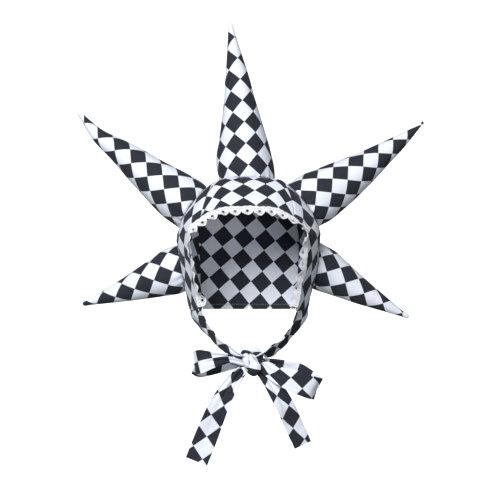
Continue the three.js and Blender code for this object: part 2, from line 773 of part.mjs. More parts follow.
function tailStations(side, length, lean, fullTwist) {
  const leanAngle = toRadians(lean);
  const down = new THREE.Vector3(side * Math.sin(leanAngle), 0, -Math.cos(leanAngle));
  const across = new THREE.Vector3(Math.cos(leanAngle), 0, side * Math.sin(leanAngle));
  return TAIL_ROWS.map(({ along, swing, wave, width, twist, fold }) => {
    const centre = inKnot(side, TAIL_START).addScaledVector(down, along * length);
    centre.addScaledVector(across, side * swing * length);
    centre.y -= wave * length;
    const turned = across.clone().multiplyScalar(Math.cos(toRadians(twist * fullTwist)));
    turned.y = Math.sin(toRadians(twist * fullTwist));
    return { centre, across: turned, width: width * TIE_WIDTH, fold };
  });
}

const clothFinish = { color: 0xd9dbe2, roughness: 0.75, metalness: 0 };
const darkFinish = { color: 0x34333d, roughness: 0.7, metalness: 0 };
const laceFinish = { color: 0xf4f1ea, roughness: 0.8, metalness: 0 };

const bonnet = new THREE.Group();

function addPiece(name, geometry, finish) {
  const mesh = new THREE.Mesh(geometry, new THREE.MeshStandardMaterial(finish));
  mesh.name = name;
  bonnet.add(mesh);
}

const core = bonnetCore();
const grownKnot = knotShape(FIT_GAP);
const overHem = spaceOverHem();
const halfGap = FIT_GAP / 2;
const hemEdge = (side) => () => side * 180;
const leftStrap = strapStations(LEFT);
const rightStrap = strapStations(RIGHT);
const leftLoop = loopStations(LEFT, LEFT_LOOP_LENGTH, LEFT_LOOP_LEAN, LEFT_LOOP_ROWS);
const rightLoop = loopStations(RIGHT, RIGHT_LOOP_LENGTH, RIGHT_LOOP_LEAN, RIGHT_LOOP_ROWS);
const leftTail = tailStations(LEFT, LEFT_TAIL_LENGTH, LEFT_TAIL_LEAN, LEFT_TAIL_TWIST);
const rightTail = tailStations(RIGHT, RIGHT_TAIL_LENGTH, RIGHT_TAIL_LEAN, RIGHT_TAIL_TWIST);

// The band, the crown strip and the back
addPiece(
  'band_centre',
  bandPanel(besideCentrePanel(LEFT, -halfGap), besideCentrePanel(RIGHT, -halfGap), CENTRE_PANEL_COLUMNS),
  clothFinish,
);
addPiece(
  'band_left',
  bandPanel(hemEdge(LEFT), besideCentrePanel(LEFT, halfGap), SIDE_PANEL_COLUMNS),
  clothFinish,
);
addPiece(
  'band_right',
  bandPanel(besideCentrePanel(RIGHT, halfGap), hemEdge(RIGHT), SIDE_PANEL_COLUMNS),
  clothFinish,
);
addPiece(
  'crown_panel',
  bonnetPanel(1 + crownPlaceGap, lastCrownPlace, hemEdge(LEFT), hemEdge(RIGHT), archColumns, CROWN_ROWS),
  clothFinish,
);
addPiece('back_panel', backPanel(), darkFinish);

// The spikes and the lace
for (const row of SPIKES) {
  addPiece(row.name, spike(row, core), clothFinish);
}
addPiece('lace_trim', laceTrim(), laceFinish);

// The straps and the bow
addPiece('strap_left', trimmedTie(leftStrap, TIE_STEPS, grownKnot, overHem), clothFinish);
addPiece('strap_right', trimmedTie(rightStrap, TIE_STEPS, grownKnot, overHem), clothFinish);
addPiece('bow_knot', fromSolid(knotShape(0)), darkFinish);
addPiece('loop_left', trimmedTie(leftLoop, LOOP_STEPS, grownKnot), clothFinish);
addPiece('loop_right', trimmedTie(rightLoop, LOOP_STEPS, grownKnot), clothFinish);
addPiece('tail_left', trimmedTie(leftTail, TIE_STEPS, grownKnot), clothFinish);
addPiece('tail_right', trimmedTie(rightTail, TIE_STEPS, grownKnot), clothFinish);

export default bonnet;
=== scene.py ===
"""A checked jester bonnet with five stuffed spikes, face lace and a chin bow, dressed on its frame."""

from __future__ import annotations

import logging
import math
from dataclasses import dataclass, field
from enum import Enum
from typing import Callable, Sequence

import bpy
import numpy as np
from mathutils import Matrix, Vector, geometry, noise


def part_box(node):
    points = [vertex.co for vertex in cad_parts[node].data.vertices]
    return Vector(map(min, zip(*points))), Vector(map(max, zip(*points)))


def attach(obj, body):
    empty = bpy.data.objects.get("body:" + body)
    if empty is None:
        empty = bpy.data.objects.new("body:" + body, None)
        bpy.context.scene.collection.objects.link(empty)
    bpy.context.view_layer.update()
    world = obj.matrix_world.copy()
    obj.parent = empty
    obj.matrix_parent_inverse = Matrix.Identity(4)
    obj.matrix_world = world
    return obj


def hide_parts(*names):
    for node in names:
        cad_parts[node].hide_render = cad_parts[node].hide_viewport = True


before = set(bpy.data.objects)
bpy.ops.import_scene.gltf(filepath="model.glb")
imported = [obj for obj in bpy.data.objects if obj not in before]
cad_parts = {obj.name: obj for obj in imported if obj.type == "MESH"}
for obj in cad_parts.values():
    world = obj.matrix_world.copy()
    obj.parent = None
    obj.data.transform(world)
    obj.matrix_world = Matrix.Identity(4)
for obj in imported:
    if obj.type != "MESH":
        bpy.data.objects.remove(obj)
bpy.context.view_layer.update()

LOG = logging.getLogger("bonnet")
MM = 0.001
CHECK_SIDE = 20.2 * MM
CLOTH_MAP = "cloth"


class Side(Enum):
    """The two sides of the bonnet, as the photograph shows them."""

    LEFT = -1
    RIGHT = 1


# Shader building


class Value:
    """A number from a node's socket, whose arithmetic adds Math nodes."""

    def __init__(self, shader: "Shader", socket: bpy.types.NodeSocket) -> None:
        """Wrap a socket.

        Args:
            shader: the shader that the socket belongs to.
            socket: the output socket.
        """
        self.shader = shader
        self.socket = socket

    def math(self, operation: str, *inputs: "Value | float") -> "Value":
        """Add one Math node.

        Args:
            operation: the node's operation.
            inputs: its inputs, links or numbers.

        Returns:
            The node's output.
        """
        sockets = {index: item for index, item in enumerate(inputs)}
        added = self.shader.node("ShaderNodeMath", {"operation": operation}, sockets)
        return Value(self.shader, added.outputs[0])

    def __add__(self, other: "Value | float") -> "Value":
        """Return self + other."""
        return self.math("ADD", self, other)

    def __radd__(self, other: float) -> "Value":
        """Return other + self."""
        return self.math("ADD", other, self)

    def __sub__(self, other: "Value | float") -> "Value":
        """Return self - other."""
        return self.math("SUBTRACT", self, other)

    def __rsub__(self, other: float) -> "Value":
        """Return other - self."""
        return self.math("SUBTRACT", other, self)

    def __mul__(self, other: "Value | float") -> "Value":
        """Return self * other."""
        return self.math("MULTIPLY", self, other)

    def __rmul__(self, other: float) -> "Value":
        """Return other * self."""
        return self.math("MULTIPLY", other, self)

    def __mod__(self, other: "Value | float") -> "Value":
        """Return self modulo other, never negative."""
        return self.math("FLOORED_MODULO", self, other)

    def floor(self) -> "Value":
        """Return the whole number below."""
        return self.math("FLOOR", self)

    def wave(self) -> "Value":
        """Return the size of the sine."""
        return self.math("ABSOLUTE", self.math("SINE", self))


class Shader:
    """A material's nodes, with one way to add any of them."""

    def __init__(self, name: str) -> None:
        """Start a material.

        Args:
            name: the material's name.
        """
        self.material = bpy.data.materials.new(name)
        self.material.use_nodes = True
        self.tree = self.material.node_tree
        self.tree.nodes.clear()

    def node(self, kind: str, settings: dict, sockets: dict) -> bpy.types.Node:
        """Add a node, its settings first and its sockets after.

        Args:
            kind: the node's type.
            settings: its settings by name.
            sockets: values or links by socket name or number.

        Returns:
            The node.
        """
        added = self.tree.nodes.new(kind)
        for name, setting in settings.items():
            setattr(added, name, setting)
        for name, item in sockets.items():
            source = item.socket if isinstance(item, Value) else item
            if isinstance(source, bpy.types.NodeSocket):
                self.tree.links.new(source, added.inputs[name])
            else:
                added.inputs[name].default_value = source
        return added

    def value(self, kind: str, settings: dict, sockets: dict, output: str | int = 0) -> Value:
        """Add a node and wrap one of its outputs.

        Args:
            kind: the node's type.
            settings: its settings by name.
            sockets: values or links by socket name or number.
            output: the output's name or number.

        Returns:
            The wrapped output.
        """
        return Value(self, self.node(kind, settings, sockets).outputs[output])

    def mix(self, share: "Value | float", first: object, second: object, blend: str = "MIX") -> object:
        """Mix two colours.

        Args:
            share: how much of the second.
            first: a colour or a link.
            second: a colour or a link.
            blend: the way of mixing.

        Returns:
            The mixed colour's socket.
        """
        settings = {"data_type": "RGBA", "blend_type": blend}
        sockets = {"Factor": share, 6: first, 7: second}
        return self.node("ShaderNodeMix", settings, sockets).outputs[2]

    def finish(self, sockets: dict) -> bpy.types.Material:
        """Close the material with a Principled shader.

        Args:
            sockets: the shader's values or links by name.

        Returns:
            The material.
        """
        surface = self.node("ShaderNodeBsdfPrincipled", {}, sockets)
        self.node("ShaderNodeOutputMaterial", {}, {"Surface": surface.outputs[0]})
        return self.material


@dataclass(frozen=True)
class CheckedCloth:
    """Printed black and white checks on a fine plain weave."""

    name: str = "checked cloth"
    white: tuple = (0.80, 0.835, 0.905, 1)
    white_aged: tuple = (0.735, 0.775, 0.865, 1)
    black: tuple = (0.0165, 0.0195, 0.029, 1)
    black_worn: tuple = (0.026, 0.029, 0.041, 1)
    threads_per_check: float = 44
    print_wander: float = 0.012
    weave_height: float = 0.12 * MM
    roughness: float = 0.78
    sheen: float = 0.06

    def material(self) -> bpy.types.Material:
        """Build the cloth's material from its flat coordinates, counted in checks.

        Returns:
            The material.
        """
        shader = Shader(self.name)
        flat = shader.node("ShaderNodeUVMap", {"uv_map": CLOTH_MAP}, {}).outputs[0]
        broad = shader.value("ShaderNodeTexNoise", {}, {"Vector": flat, "Scale": 2.2, "Detail": 3.0})
        fibre = shader.value("ShaderNodeTexNoise", {}, {"Vector": flat, "Scale": 60.0, "Detail": 2.0})
        split = shader.node("ShaderNodeSeparateXYZ", {}, {0: flat})
        wander = (fibre - 0.5) * self.print_wander
        across = Value(shader, split.outputs[0]) + wander
        along = Value(shader, split.outputs[1]) + wander
        check = (across.floor() + along.floor()) % 2
        white = shader.mix(broad, self.white, self.white_aged)
        black = shader.mix(broad, self.black, self.black_worn)
        printed = shader.mix(check, black, white)
        turns = math.pi * self.threads_per_check
        warp = (across * turns).wave()
        weft = (along * turns).wave()
        threads = self.threads_per_check
        over = ((across * threads).floor() + (along * threads).floor()) % 2
        height = warp * over + weft * (1 - over)
        bump_sockets = {"Strength": 0.35, "Distance": self.weave_height, "Height": height + fibre * 0.4}
        bump = shader.node("ShaderNodeBump", {}, bump_sockets)
        return shader.finish({
            "Base Color": printed,
            "Roughness": self.roughness + (fibre - 0.5) * 0.25,
            "Normal": bump.outputs[0],
            "Sheen Weight": self.sheen,
            "Sheen Roughness": 0.5,
            "Specular IOR Level": 0.2,
        })


@dataclass(frozen=True)
class LaceCotton:
    """Thick white cotton of the lace, with fine twisted threads."""

    name: str = "lace cotton"
    light: tuple = (0.87, 0.88, 0.90, 1)
    dark: tuple = (0.68, 0.69, 0.73, 1)
    thread_scale: float = 1400
    roughness: float = 0.88

    def material(self) -> bpy.types.Material:
        """Build the lace's material.

        Returns:
            The material.
        """
        shader = Shader(self.name)
        place = shader.node("ShaderNodeTexCoord", {}, {}).outputs["Object"]
        sockets = {"Vector": place, "Scale": self.thread_scale, "Distortion": 6.0, "Detail": 2.0}
        threads = shader.value("ShaderNodeTexWave", {"wave_type": "BANDS"}, sockets, 1)
        lumps = shader.value("ShaderNodeTexNoise", {}, {"Vector": place, "Scale": 420.0, "Detail": 3.0})
        bump_sockets = {"Strength": 0.5, "Distance": 0.25 * MM, "Height": threads * 0.5 + lumps}
        bump = shader.node("ShaderNodeBump", {}, bump_sockets)
        return shader.finish({
            "Base Color": shader.mix(lumps, self.dark, self.light),
            "Roughness": self.roughness + (lumps - 0.5) * 0.2,
            "Normal": bump.outputs[0],
            "Sheen Weight": 0.3,
            "Specular IOR Level": 0.2,
        })


@dataclass(frozen=True)
class Thread:
    """Sewing thread with a twisted ply."""

    name: str = "sewing thread"
    light: tuple = (0.42, 0.43, 0.48, 1)
    dark: tuple = (0.30, 0.31, 0.36, 1)
    ply_scale: float = 2600

    def material(self) -> bpy.types.Material:
        """Build the thread's material.

        Returns:
            The material.
        """
        shader = Shader(self.name)
        place = shader.node("ShaderNodeTexCoord", {}, {}).outputs["Object"]
        sockets = {"Vector": place, "Scale": self.ply_scale, "Distortion": 1.0}
        ply = shader.value("ShaderNodeTexWave", {"bands_direction": "DIAGONAL"}, sockets, 1)
        bump = shader.node("ShaderNodeBump", {}, {"Strength": 0.4, "Distance": 0.1 * MM, "Height": ply})
        return shader.finish({
            "Base Color": shader.mix(ply, self.dark, self.light),
            "Roughness": 0.6 + ply * 0.15,
            "Normal": bump.outputs[0],
        })


@dataclass(frozen=True)
class StudioPaper:
    """White studio paper, faintly mottled and lit from within so that it stays white."""

    name: str = "studio paper"
    glow: float = 1.1

    def material(self) -> bpy.types.Material:
        """Build the paper's material.

        Returns:
            The material.
        """
        shader = Shader(self.name)
        place = shader.node("ShaderNodeTexCoord", {}, {}).outputs["Object"]
        mottle = shader.value("ShaderNodeTexNoise", {}, {"Vector": place, "Scale": 3.0})
        tint = shader.mix(mottle, (0.93, 0.93, 0.93, 1), (0.95, 0.95, 0.95, 1))
        return shader.finish({
            "Base Color": tint,
            "Roughness": 0.9,
            "Emission Color": tint,
            "Emission Strength": self.glow,
        })


# Reading tables and making meshes


def smooth_read(keys: Sequence[float], values: Sequence[float], at: float) -> float:
    """Read a value between the rows of a table, eased from row to row.

    Args:
        keys: the rows' places, rising.
        values: the rows' values.
        at: the place to read.

    Returns:
        The value there.
    """
    index = 0
    while index < len(keys) - 2 and at > keys[index + 1]:
        index += 1
    before = max(index - 1, 0)
    after = min(index + 2, len(keys) - 1)
    span = keys[index + 1] - keys[index]
    share = min(max((at - keys[index]) / span, 0.0), 1.0)
    start_slope = (values[index + 1] - values[before]) / (keys[index + 1] - keys[before]) * span
    end_slope = (values[after] - values[index]) / (keys[after] - keys[index]) * span
    square = share * share
    cube = square * share
    return (
        (2 * cube - 3 * square + 1) * values[index]
        + (cube - 2 * square + share) * start_slope
        + (3 * square - 2 * cube) * values[index + 1]
        + (cube - square) * end_slope
    )


def crumple(across: float, along: float, seed: float) -> float:
    """Return soft seeded noise between about -1 and 1.

    Args:
        across: place across, in wavelengths.
        along: place along, in wavelengths.
        seed: which noise.

    Returns:
        The noise's height.
    """
    return noise.noise(Vector((across, along, seed))) * 1.4


@dataclass(frozen=True)
class Print:
    """How the checks lie on a piece: their turn, the place of one corner in checks, and their ease.

    An ease over 1 packs the checks closer, as eased or gathered cloth does.
    """

    turn: float
    across: float = 0.0
    along: float = 0.0
    ease: float = 1.0

    def lay(self, flat: np.ndarray) -> np.ndarray:
        """Turn flat cloth places into places counted in checks.

        Args:
            flat: places on the flat cloth in metres, pairs in the last axis.

        Returns:
            The places in checks.
        """
        angle = math.radians(self.turn)
        x = flat[..., 0] / CHECK_SIDE * self.ease
        y = flat[..., 1] / CHECK_SIDE * self.ease
        return np.stack(
            [
                x * math.cos(angle) - y * math.sin(angle) + self.across,
                x * math.sin(angle) + y * math.cos(angle) + self.along,
            ],
            axis=-1,
        )


def make_object(name: str, points: np.ndarray, faces: Sequence, maps: Sequence | None) -> bpy.types.Object:
    """Make a smooth mesh object.

    Args:
        name: the object's name.
        points: the corners, a row each.
        faces: corner numbers of each face.
        maps: a flat place for every face corner, in the faces' order, or None.

    Returns:
        The object, linked to the scene.
    """
    mesh = bpy.data.meshes.new(name)
    mesh.from_pydata([tuple(point) for point in points], [], faces)
    if maps is not None:
        layer = mesh.uv_layers.new(name=CLOTH_MAP)
        layer.data.foreach_set("uv", np.asarray(maps, dtype=np.float32).ravel())
    mesh.polygons.foreach_set("use_smooth", [True] * len(mesh.polygons))
    mesh.set_sharp_from_angle(angle=math.radians(52))
    mesh.validate()
    made = bpy.data.objects.new(name, mesh)
    bpy.context.scene.collection.objects.link(made)
    return made


def net_normals(points: np.ndarray, wrapped: bool) -> np.ndarray:
    """Return unit normals of a net of points.

    Args:
        points: rows by columns of places.
        wrapped: whether the last column joins the first.

    Returns:
        A normal for each point.
    """
    if wrapped:
        padded = np.concatenate([points[:, -1:], points, points[:, :1]], axis=1)
        across = padded[:, 2:] - padded[:, :-2]
    else:
        across = np.gradient(points, axis=1)
    along = np.gradient(points, axis=0)
    normals = np.cross(across, along)
    lengths = np.linalg.norm(normals, axis=2, keepdims=True)
    return normals / np.maximum(lengths, 1e-12)


def net_faces(rows: int, columns: int, start: int, flip: bool) -> list:
    """Return the quads of an open net.

    Args:
        rows: how many rows of corners.
        columns: how many columns of corners.
        start: number of the net's first corner.
        flip: whether the faces look the other way.

    Returns:
        The quads.
    """
    quads = []
    for row in range(rows - 1):
        for column in range(columns - 1):
            corner = start + row * columns + column
            quad = [corner, corner + 1, corner + columns + 1, corner + columns]
            quads.append(quad[::-1] if flip else quad)
    return quads


def cloth_object(name: str, points: np.ndarray, flat: np.ndarray, thickness: float) -> bpy.types.Object:
    """Make a closed sheet of even thickness from a net of its middle layer.

    Args:
        name: the object's name.
        points: rows by columns of places.
        flat: places on the cloth for each point, in checks.
        thickness: the cloth's thickness.

    Returns:
        The object.
    """
    rows, columns = points.shape[:2]
    normals = net_normals(points, False)
    front = (points + normals * thickness / 2).reshape(-1, 3)
    back = (points - normals * thickness / 2).reshape(-1, 3)
    count = rows * columns
    faces = net_faces(rows, columns, 0, False) + net_faces(rows, columns, count, True)
    top = [row * columns for row in range(rows)]
    rim = list(range(columns - 1)) + [row * columns + columns - 1 for row in range(rows - 1)]
    rim += [(rows - 1) * columns + column for column in range(columns - 1, 0, -1)]
    rim += top[:0:-1]
    for index, corner in enumerate(rim):
        after = rim[(index + 1) % len(rim)]
        faces.append([corner, corner + count, after + count, after])
    places = flat.reshape(-1, 2)
    maps = [places[corner % count] for face in faces for corner in face]
    return make_object(name, np.concatenate([front, back]), faces, maps)


def round_object(name: str, points: np.ndarray, flat: np.ndarray) -> bpy.types.Object:
    """Make a closed body from rings, with the first and last ring capped.

    Args:
        name: the object's name.
        points: rings by columns of places, the last column not repeated.
        flat: places on the cloth for rings by columns plus one, in checks.

    Returns:
        The object.
    """
    rows, columns = points.shape[:2]
    faces = []
    maps = []
    for row in range(rows - 1):
        for column in range(columns):
            after = (column + 1) % columns
            faces.append([
                row * columns + column,
                row * columns + after,
                (row + 1) * columns + after,
                (row + 1) * columns + column,
            ])
            maps += [flat[row, column], flat[row, column + 1]]
            maps += [flat[row + 1, column + 1], flat[row + 1, column]]
    faces.append(list(range(columns))[::-1])
    maps += [flat[0, column] for column in range(columns)][::-1]
    faces.append([(rows - 1) * columns + column for column in range(columns)])
    maps += [flat[-1, column] for column in range(columns)]
    return make_object(name, points.reshape(-1, 3), faces, maps)


def dress(
    piece: bpy.types.Object, finish: bpy.types.Material, nodes: Sequence[str] = ()
) -> None:
    """Give a piece its material and body, and hide the CAD nodes that it replaces.

    Args:
        piece: the piece.
        finish: its material.
        nodes: CAD nodes that it replaces.
    """
    piece.data.materials.append(finish)
    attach(piece, "root")
    if nodes:
        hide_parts(*nodes)
    LOG.info("%s: %d faces", piece.name, len(piece.data.polygons))


# The bonnet's form


@dataclass(frozen=True)
class Ring:
    """One upright section of the bonnet."""

    y: float
    shift: float
    half: float
    hem_half: float
    top: float

    def toward(self, other: "Ring", along: float, change: float) -> "Ring":
        """Return a ring between this one and another.

        Args:
            other: the other ring.
            along: share of the way in depth.
            change: share of the change in size.

        Returns:
            The ring between.
        """
        return Ring(
            self.y + (other.y - self.y) * along,
            self.shift + (other.shift - self.shift) * change,
            self.half + (other.half - self.half) * change,
            self.hem_half + (other.hem_half - self.hem_half) * change,
            self.top + (other.top - self.top) * change,
        )


@dataclass(frozen=True)
class Dent:
    """A soft dent: where it is, how deep, and how far it reaches."""

    angle: float
    place: float
    depth: float
    angle_reach: float
    place_reach: float


@dataclass
class BonnetForm:
    """The curved form that every panel lies on, front edge to back, read from the frame."""

    cloth: float = 1.5 * MM
    fit_gap: float = 0.3 * MM
    ear_drop: float = 70 * MM
    seam_rise: float = 4 * MM
    back_dome: float = 5 * MM
    back_sag: float = 3.2 * MM
    face: Ring = field(init=False)
    seam: Ring = field(init=False)
    back: Ring = field(init=False)
    hem: float = field(init=False)
    arch_angles: tuple = (0, 22, 38, 54, 72, 90)
    arch_across: tuple = (0, 0.41, 0.62, 0.79, 0.945, 1)
    arch_up: tuple = (1, 0.955, 0.78, 0.54, 0.24, 0)
    band_along: tuple = (0, 0.35, 0.7, 1)
    band_change: tuple = (0, 0.42, 0.79, 1)
    crown_along: tuple = (0, 0.3, 0.6, 0.85, 1)
    crown_change: tuple = (0, 0.12, 0.34, 0.67, 1)
    dents: tuple = (
        Dent(-96, 1.0, -1.6 * MM, 9, 0.3),
        Dent(146, 0.0, -4.6 * MM, 24, 0.5),
        Dent(-132, 0.35, 3.0 * MM, 16, 0.4),
        Dent(74, 0.3, 2.5 * MM, 10, 0.3),
        Dent(148, 0.2, 4.5 * MM, 14, 0.4),
        Dent(172, 1.45, 10.0 * MM, 16, 0.35),
        Dent(20, 1.55, 3.0 * MM, 18, 0.3),
        Dent(-38, 1.6, 3.0 * MM, 16, 0.25),
    )

    def __post_init__(self) -> None:
        """Set the three main rings from the frame's boxes and the cut's own widths."""
        band_low, band_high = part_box("band_left")
        back_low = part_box("back_panel")[0]
        gap = self.fit_gap / 2
        self.hem = back_low.z
        self.face = Ring(band_low.y, -2 * MM, 74 * MM, 59 * MM, -38 * MM)
        self.seam = Ring(band_high.y + gap, 0, 92 * MM, 78 * MM, self.seam_rise)
        self.back = Ring(back_low.y - gap, 0, 68 * MM, 65 * MM, -16 * MM)

    def ring(self, place: float) -> Ring:
        """Return the ring at a place: 0 at the face, 1 at the seam, 2 at the back.

        Args:
            place: from 0 to 2.

        Returns:
            The ring.
        """
        if place <= 1:
            change = smooth_read(self.band_along, self.band_change, place)
            return self.face.toward(self.seam, place, change)
        change = smooth_read(self.crown_along, self.crown_change, place - 1)
        return self.seam.toward(self.back, place - 1, change)

    def narrowing(self, down: float) -> float:
        """Return the share of a side's narrowing made by a share of the way down to the hem."""
        turn = math.pi * 0.75
        return (1 - math.cos(down * turn)) / (1 - math.cos(turn))

    def plain(self, angle: float, place: float) -> Vector:
        """Return a point of the middle layer without dents.

        Args:
            angle: degrees from the crown, 180 at the hem, left negative.
            place: from 0 at the face to 2 at the back.

        Returns:
            The point.
        """
        ring = self.ring(place)
        side = math.copysign(1, angle)
        turn = abs(angle)
        if turn <= 90:
            across = smooth_read(self.arch_angles, self.arch_across, turn)
            up = smooth_read(self.arch_angles, self.arch_up, turn)
            x = ring.shift + side * ring.half * across
            return Vector((x, ring.y, -self.ear_drop + (ring.top + self.ear_drop) * up))
        down = (turn - 90) / 90
        half = ring.half - (ring.half - ring.hem_half) * self.narrowing(down)
        z = -self.ear_drop + (self.hem + self.ear_drop) * down
        return Vector((ring.shift + side * half, ring.y, z))

    def out(self, angle: float, place: float) -> Vector:
        """Return the direction out of the cloth within its ring's plane."""
        around = self.plain(min(angle + 1, 180), place) - self.plain(max(angle - 1, -180), place)
        return Vector((-around.z, 0, around.x)).normalized()

    def dent(self, angle: float, place: float) -> float:
        """Return how deep the soft dents are at a place.

        Args:
            angle: degrees from the crown.
            place: from 0 at the face to 2 at the back.

        Returns:
            The depth in metres.
        """
        depth = 0.0
        for dent in self.dents:
            across = (angle - dent.angle) / dent.angle_reach
            along = (place - dent.place) / dent.place_reach
            depth += dent.depth * math.exp(-across * across - along * along)
        return depth

    def point(self, angle: float, place: float, out: float = 0.0) -> Vector:
        """Return a point of the cloth, moved out from its middle layer."""
        return self.plain(angle, place) + self.out(angle, place) * (out - self.dent(angle, place))

    def half_at(self, ring: Ring, z: float) -> float:
        """Return the half width of a ring at a height, below 0 over its top.

        Args:
            ring: the ring.
            z: the height.

        Returns:
            The half width.
        """
        if z >= ring.top:
            return -1.0
        if z >= -self.ear_drop:
            up = (z + self.ear_drop) / (ring.top + self.ear_drop)
            return ring.half * float(np.interp(-up, [-item for item in self.arch_up], self.arch_across))
        down = min((-self.ear_drop - z) / (-self.ear_drop - self.hem), 1.0)
        return ring.half - (ring.half - ring.hem_half) * self.narrowing(down)

    def outside(self, point: Vector, grown: float) -> bool:
        """Return whether a point is outside the bonnet's outer face.

        Args:
            point: the point.
            grown: how far the face is moved out.

        Returns:
            True outside.
        """
        if point.y < self.seam.y:
            place = (point.y - self.face.y) / (self.seam.y - self.face.y)
        else:
            place = 1 + (point.y - self.seam.y) / (self.back.y - self.seam.y)
        ring = self.ring(min(max(place, 0.0), 2.0))
        if abs(point.x - ring.shift) > self.half_at(ring, point.z) + grown:
            return True
        return point.z > ring.top + grown


@dataclass(frozen=True)
class Edge:
    """How a panel's sewn edge sinks into its seam, and how much of it is turned under."""

    reach: float = 2.6 * MM
    drop: float = 0.9 * MM
    allowance: float = 3.2 * MM


@dataclass
class Panel:
    """One panel of the bonnet between two places and two edge lines."""

    form: BonnetForm
    name: str
    first: float
    last: float
    left: Callable[[float], float]
    right: Callable[[float], float]
    printed: Print
    columns: int
    rows: int
    sewn_left: bool
    sewn_right: bool
    sewn_first: bool
    sewn_last: bool
    seed: float
    edge: Edge = Edge()
    pucker: float = 0.7 * MM
    pucker_reach: float = 11 * MM
    end_pucker: float = 7 * MM
    side_pucker: float = 8 * MM
    pucker_run: float = 60 * MM
    crease: float = 0.9 * MM
    crease_length: float = 34 * MM
    turned: int = 3

    def spans(self) -> tuple[float, float]:
        """Return the panel's rough size across and along.

        Returns:
            The two lengths.
        """
        middle = (self.first + self.last) / 2
        left, right = self.left(middle), self.right(middle)
        steps = 24
        ring = [self.form.plain(left + (right - left) * step / steps, middle) for step in range(steps + 1)]
        across = sum((b - a).length for a, b in zip(ring, ring[1:]))
        centre = (left + right) / 2
        line = [
            self.form.plain(centre, self.first + (self.last - self.first) * step / steps)
            for step in range(steps + 1)
        ]
        along = sum((b - a).length for a, b in zip(line, line[1:]))
        return across, along

    def seam_distance(self, share: float, length: float, first: bool, last: bool) -> float:
        """Return the distance to the nearest sewn edge, or a large one.

        Args:
            share: share of the way from the first edge to the last.
            length: the length between them.
            first: whether the first edge is sewn.
            last: whether the last edge is sewn.

        Returns:
            The distance.
        """
        distances = [1.0]
        if first:
            distances.append(share * length)
        if last:
            distances.append((1 - share) * length)
        return min(distances)

    def relief(self, across: float, along: float, width: float, length: float) -> float:
        """Return how far the cloth stands off its form.

        Args:
            across: place across in metres.
            along: place along in metres.
            width: the panel's width.
            length: the panel's length.

        Returns:
            The height out.
        """
        edge = self.edge
        side = self.seam_distance(across / width, width, self.sewn_left, self.sewn_right)
        end = self.seam_distance(along / length, length, self.sewn_first, self.sewn_last)
        height = 0.0
        for distance in (side, end):
            if distance < edge.reach:
                height -= edge.drop * (1 - distance / edge.reach) ** 2
        fade = math.exp(-end / self.pucker_reach)
        height += self.pucker * fade * crumple(across / self.end_pucker, end / self.pucker_run, self.seed)
        side_fade = math.exp(-side / self.pucker_reach)
        side_relief = crumple(along / self.side_pucker, side / self.pucker_run, self.seed + 7)
        height += self.pucker * side_fade * side_relief
        slant = (across + along * 0.6) / self.crease_length
        height += self.crease * crumple(slant, along / (self.crease_length * 2), self.seed + 3)
        return height

    def build(self) -> bpy.types.Object:
        """Build the panel's mesh.

        Returns:
            The object.
        """
        width, length = self.spans()
        edge = self.edge
        across_shares = list(np.linspace(0, 1, self.columns + 1))
        along_shares = list(np.linspace(0, 1, self.rows + 1))
        folds = [edge.allowance * (step + 1) / self.turned for step in range(self.turned)]
        across_stops = [(share, 0.0) for share in across_shares]
        if self.sewn_left:
            across_stops = [(0.0, fold) for fold in reversed(folds)] + across_stops
        if self.sewn_right:
            across_stops = across_stops + [(1.0, fold) for fold in folds]
        along_stops = [(share, 0.0) for share in along_shares]
        if self.sewn_first:
            along_stops = [(0.0, fold) for fold in reversed(folds)] + along_stops
        if self.sewn_last:
            along_stops = along_stops + [(1.0, fold) for fold in folds]
        points = np.zeros((len(along_stops), len(across_stops), 3))
        flat = np.zeros((len(along_stops), len(across_stops), 2))
        for row, (along, end_fold) in enumerate(along_stops):
            place = self.first + (self.last - self.first) * along
            left, right = self.left(place), self.right(place)
            for column, (across, side_fold) in enumerate(across_stops):
                angle = left + (right - left) * across
                height = self.relief(across * width, along * length, width, length)
                height -= max(end_fold, side_fold)
                points[row, column] = self.form.point(angle, place, height)
                sign_across = -1 if across == 0 else 1
                sign_along = -1 if along == 0 else 1
                flat[row, column] = (
                    (across - 0.5) * self.ring_width(place) + sign_across * side_fold,
                    along * length + sign_along * end_fold,
                )
        return cloth_object(self.name, points, self.printed.lay(flat), self.form.cloth)

    def ring_width(self, place: float) -> float:
        """Return the length of cloth across the panel at a place.

        Args:
            place: from 0 at the face to 2 at the back.

        Returns:
            The length.
        """
        steps = 16
        left, right = self.left(place), self.right(place)
        ring = [self.form.plain(left + (right - left) * step / steps, place) for step in range(steps + 1)]
        return sum((b - a).length for a, b in zip(ring, ring[1:]))


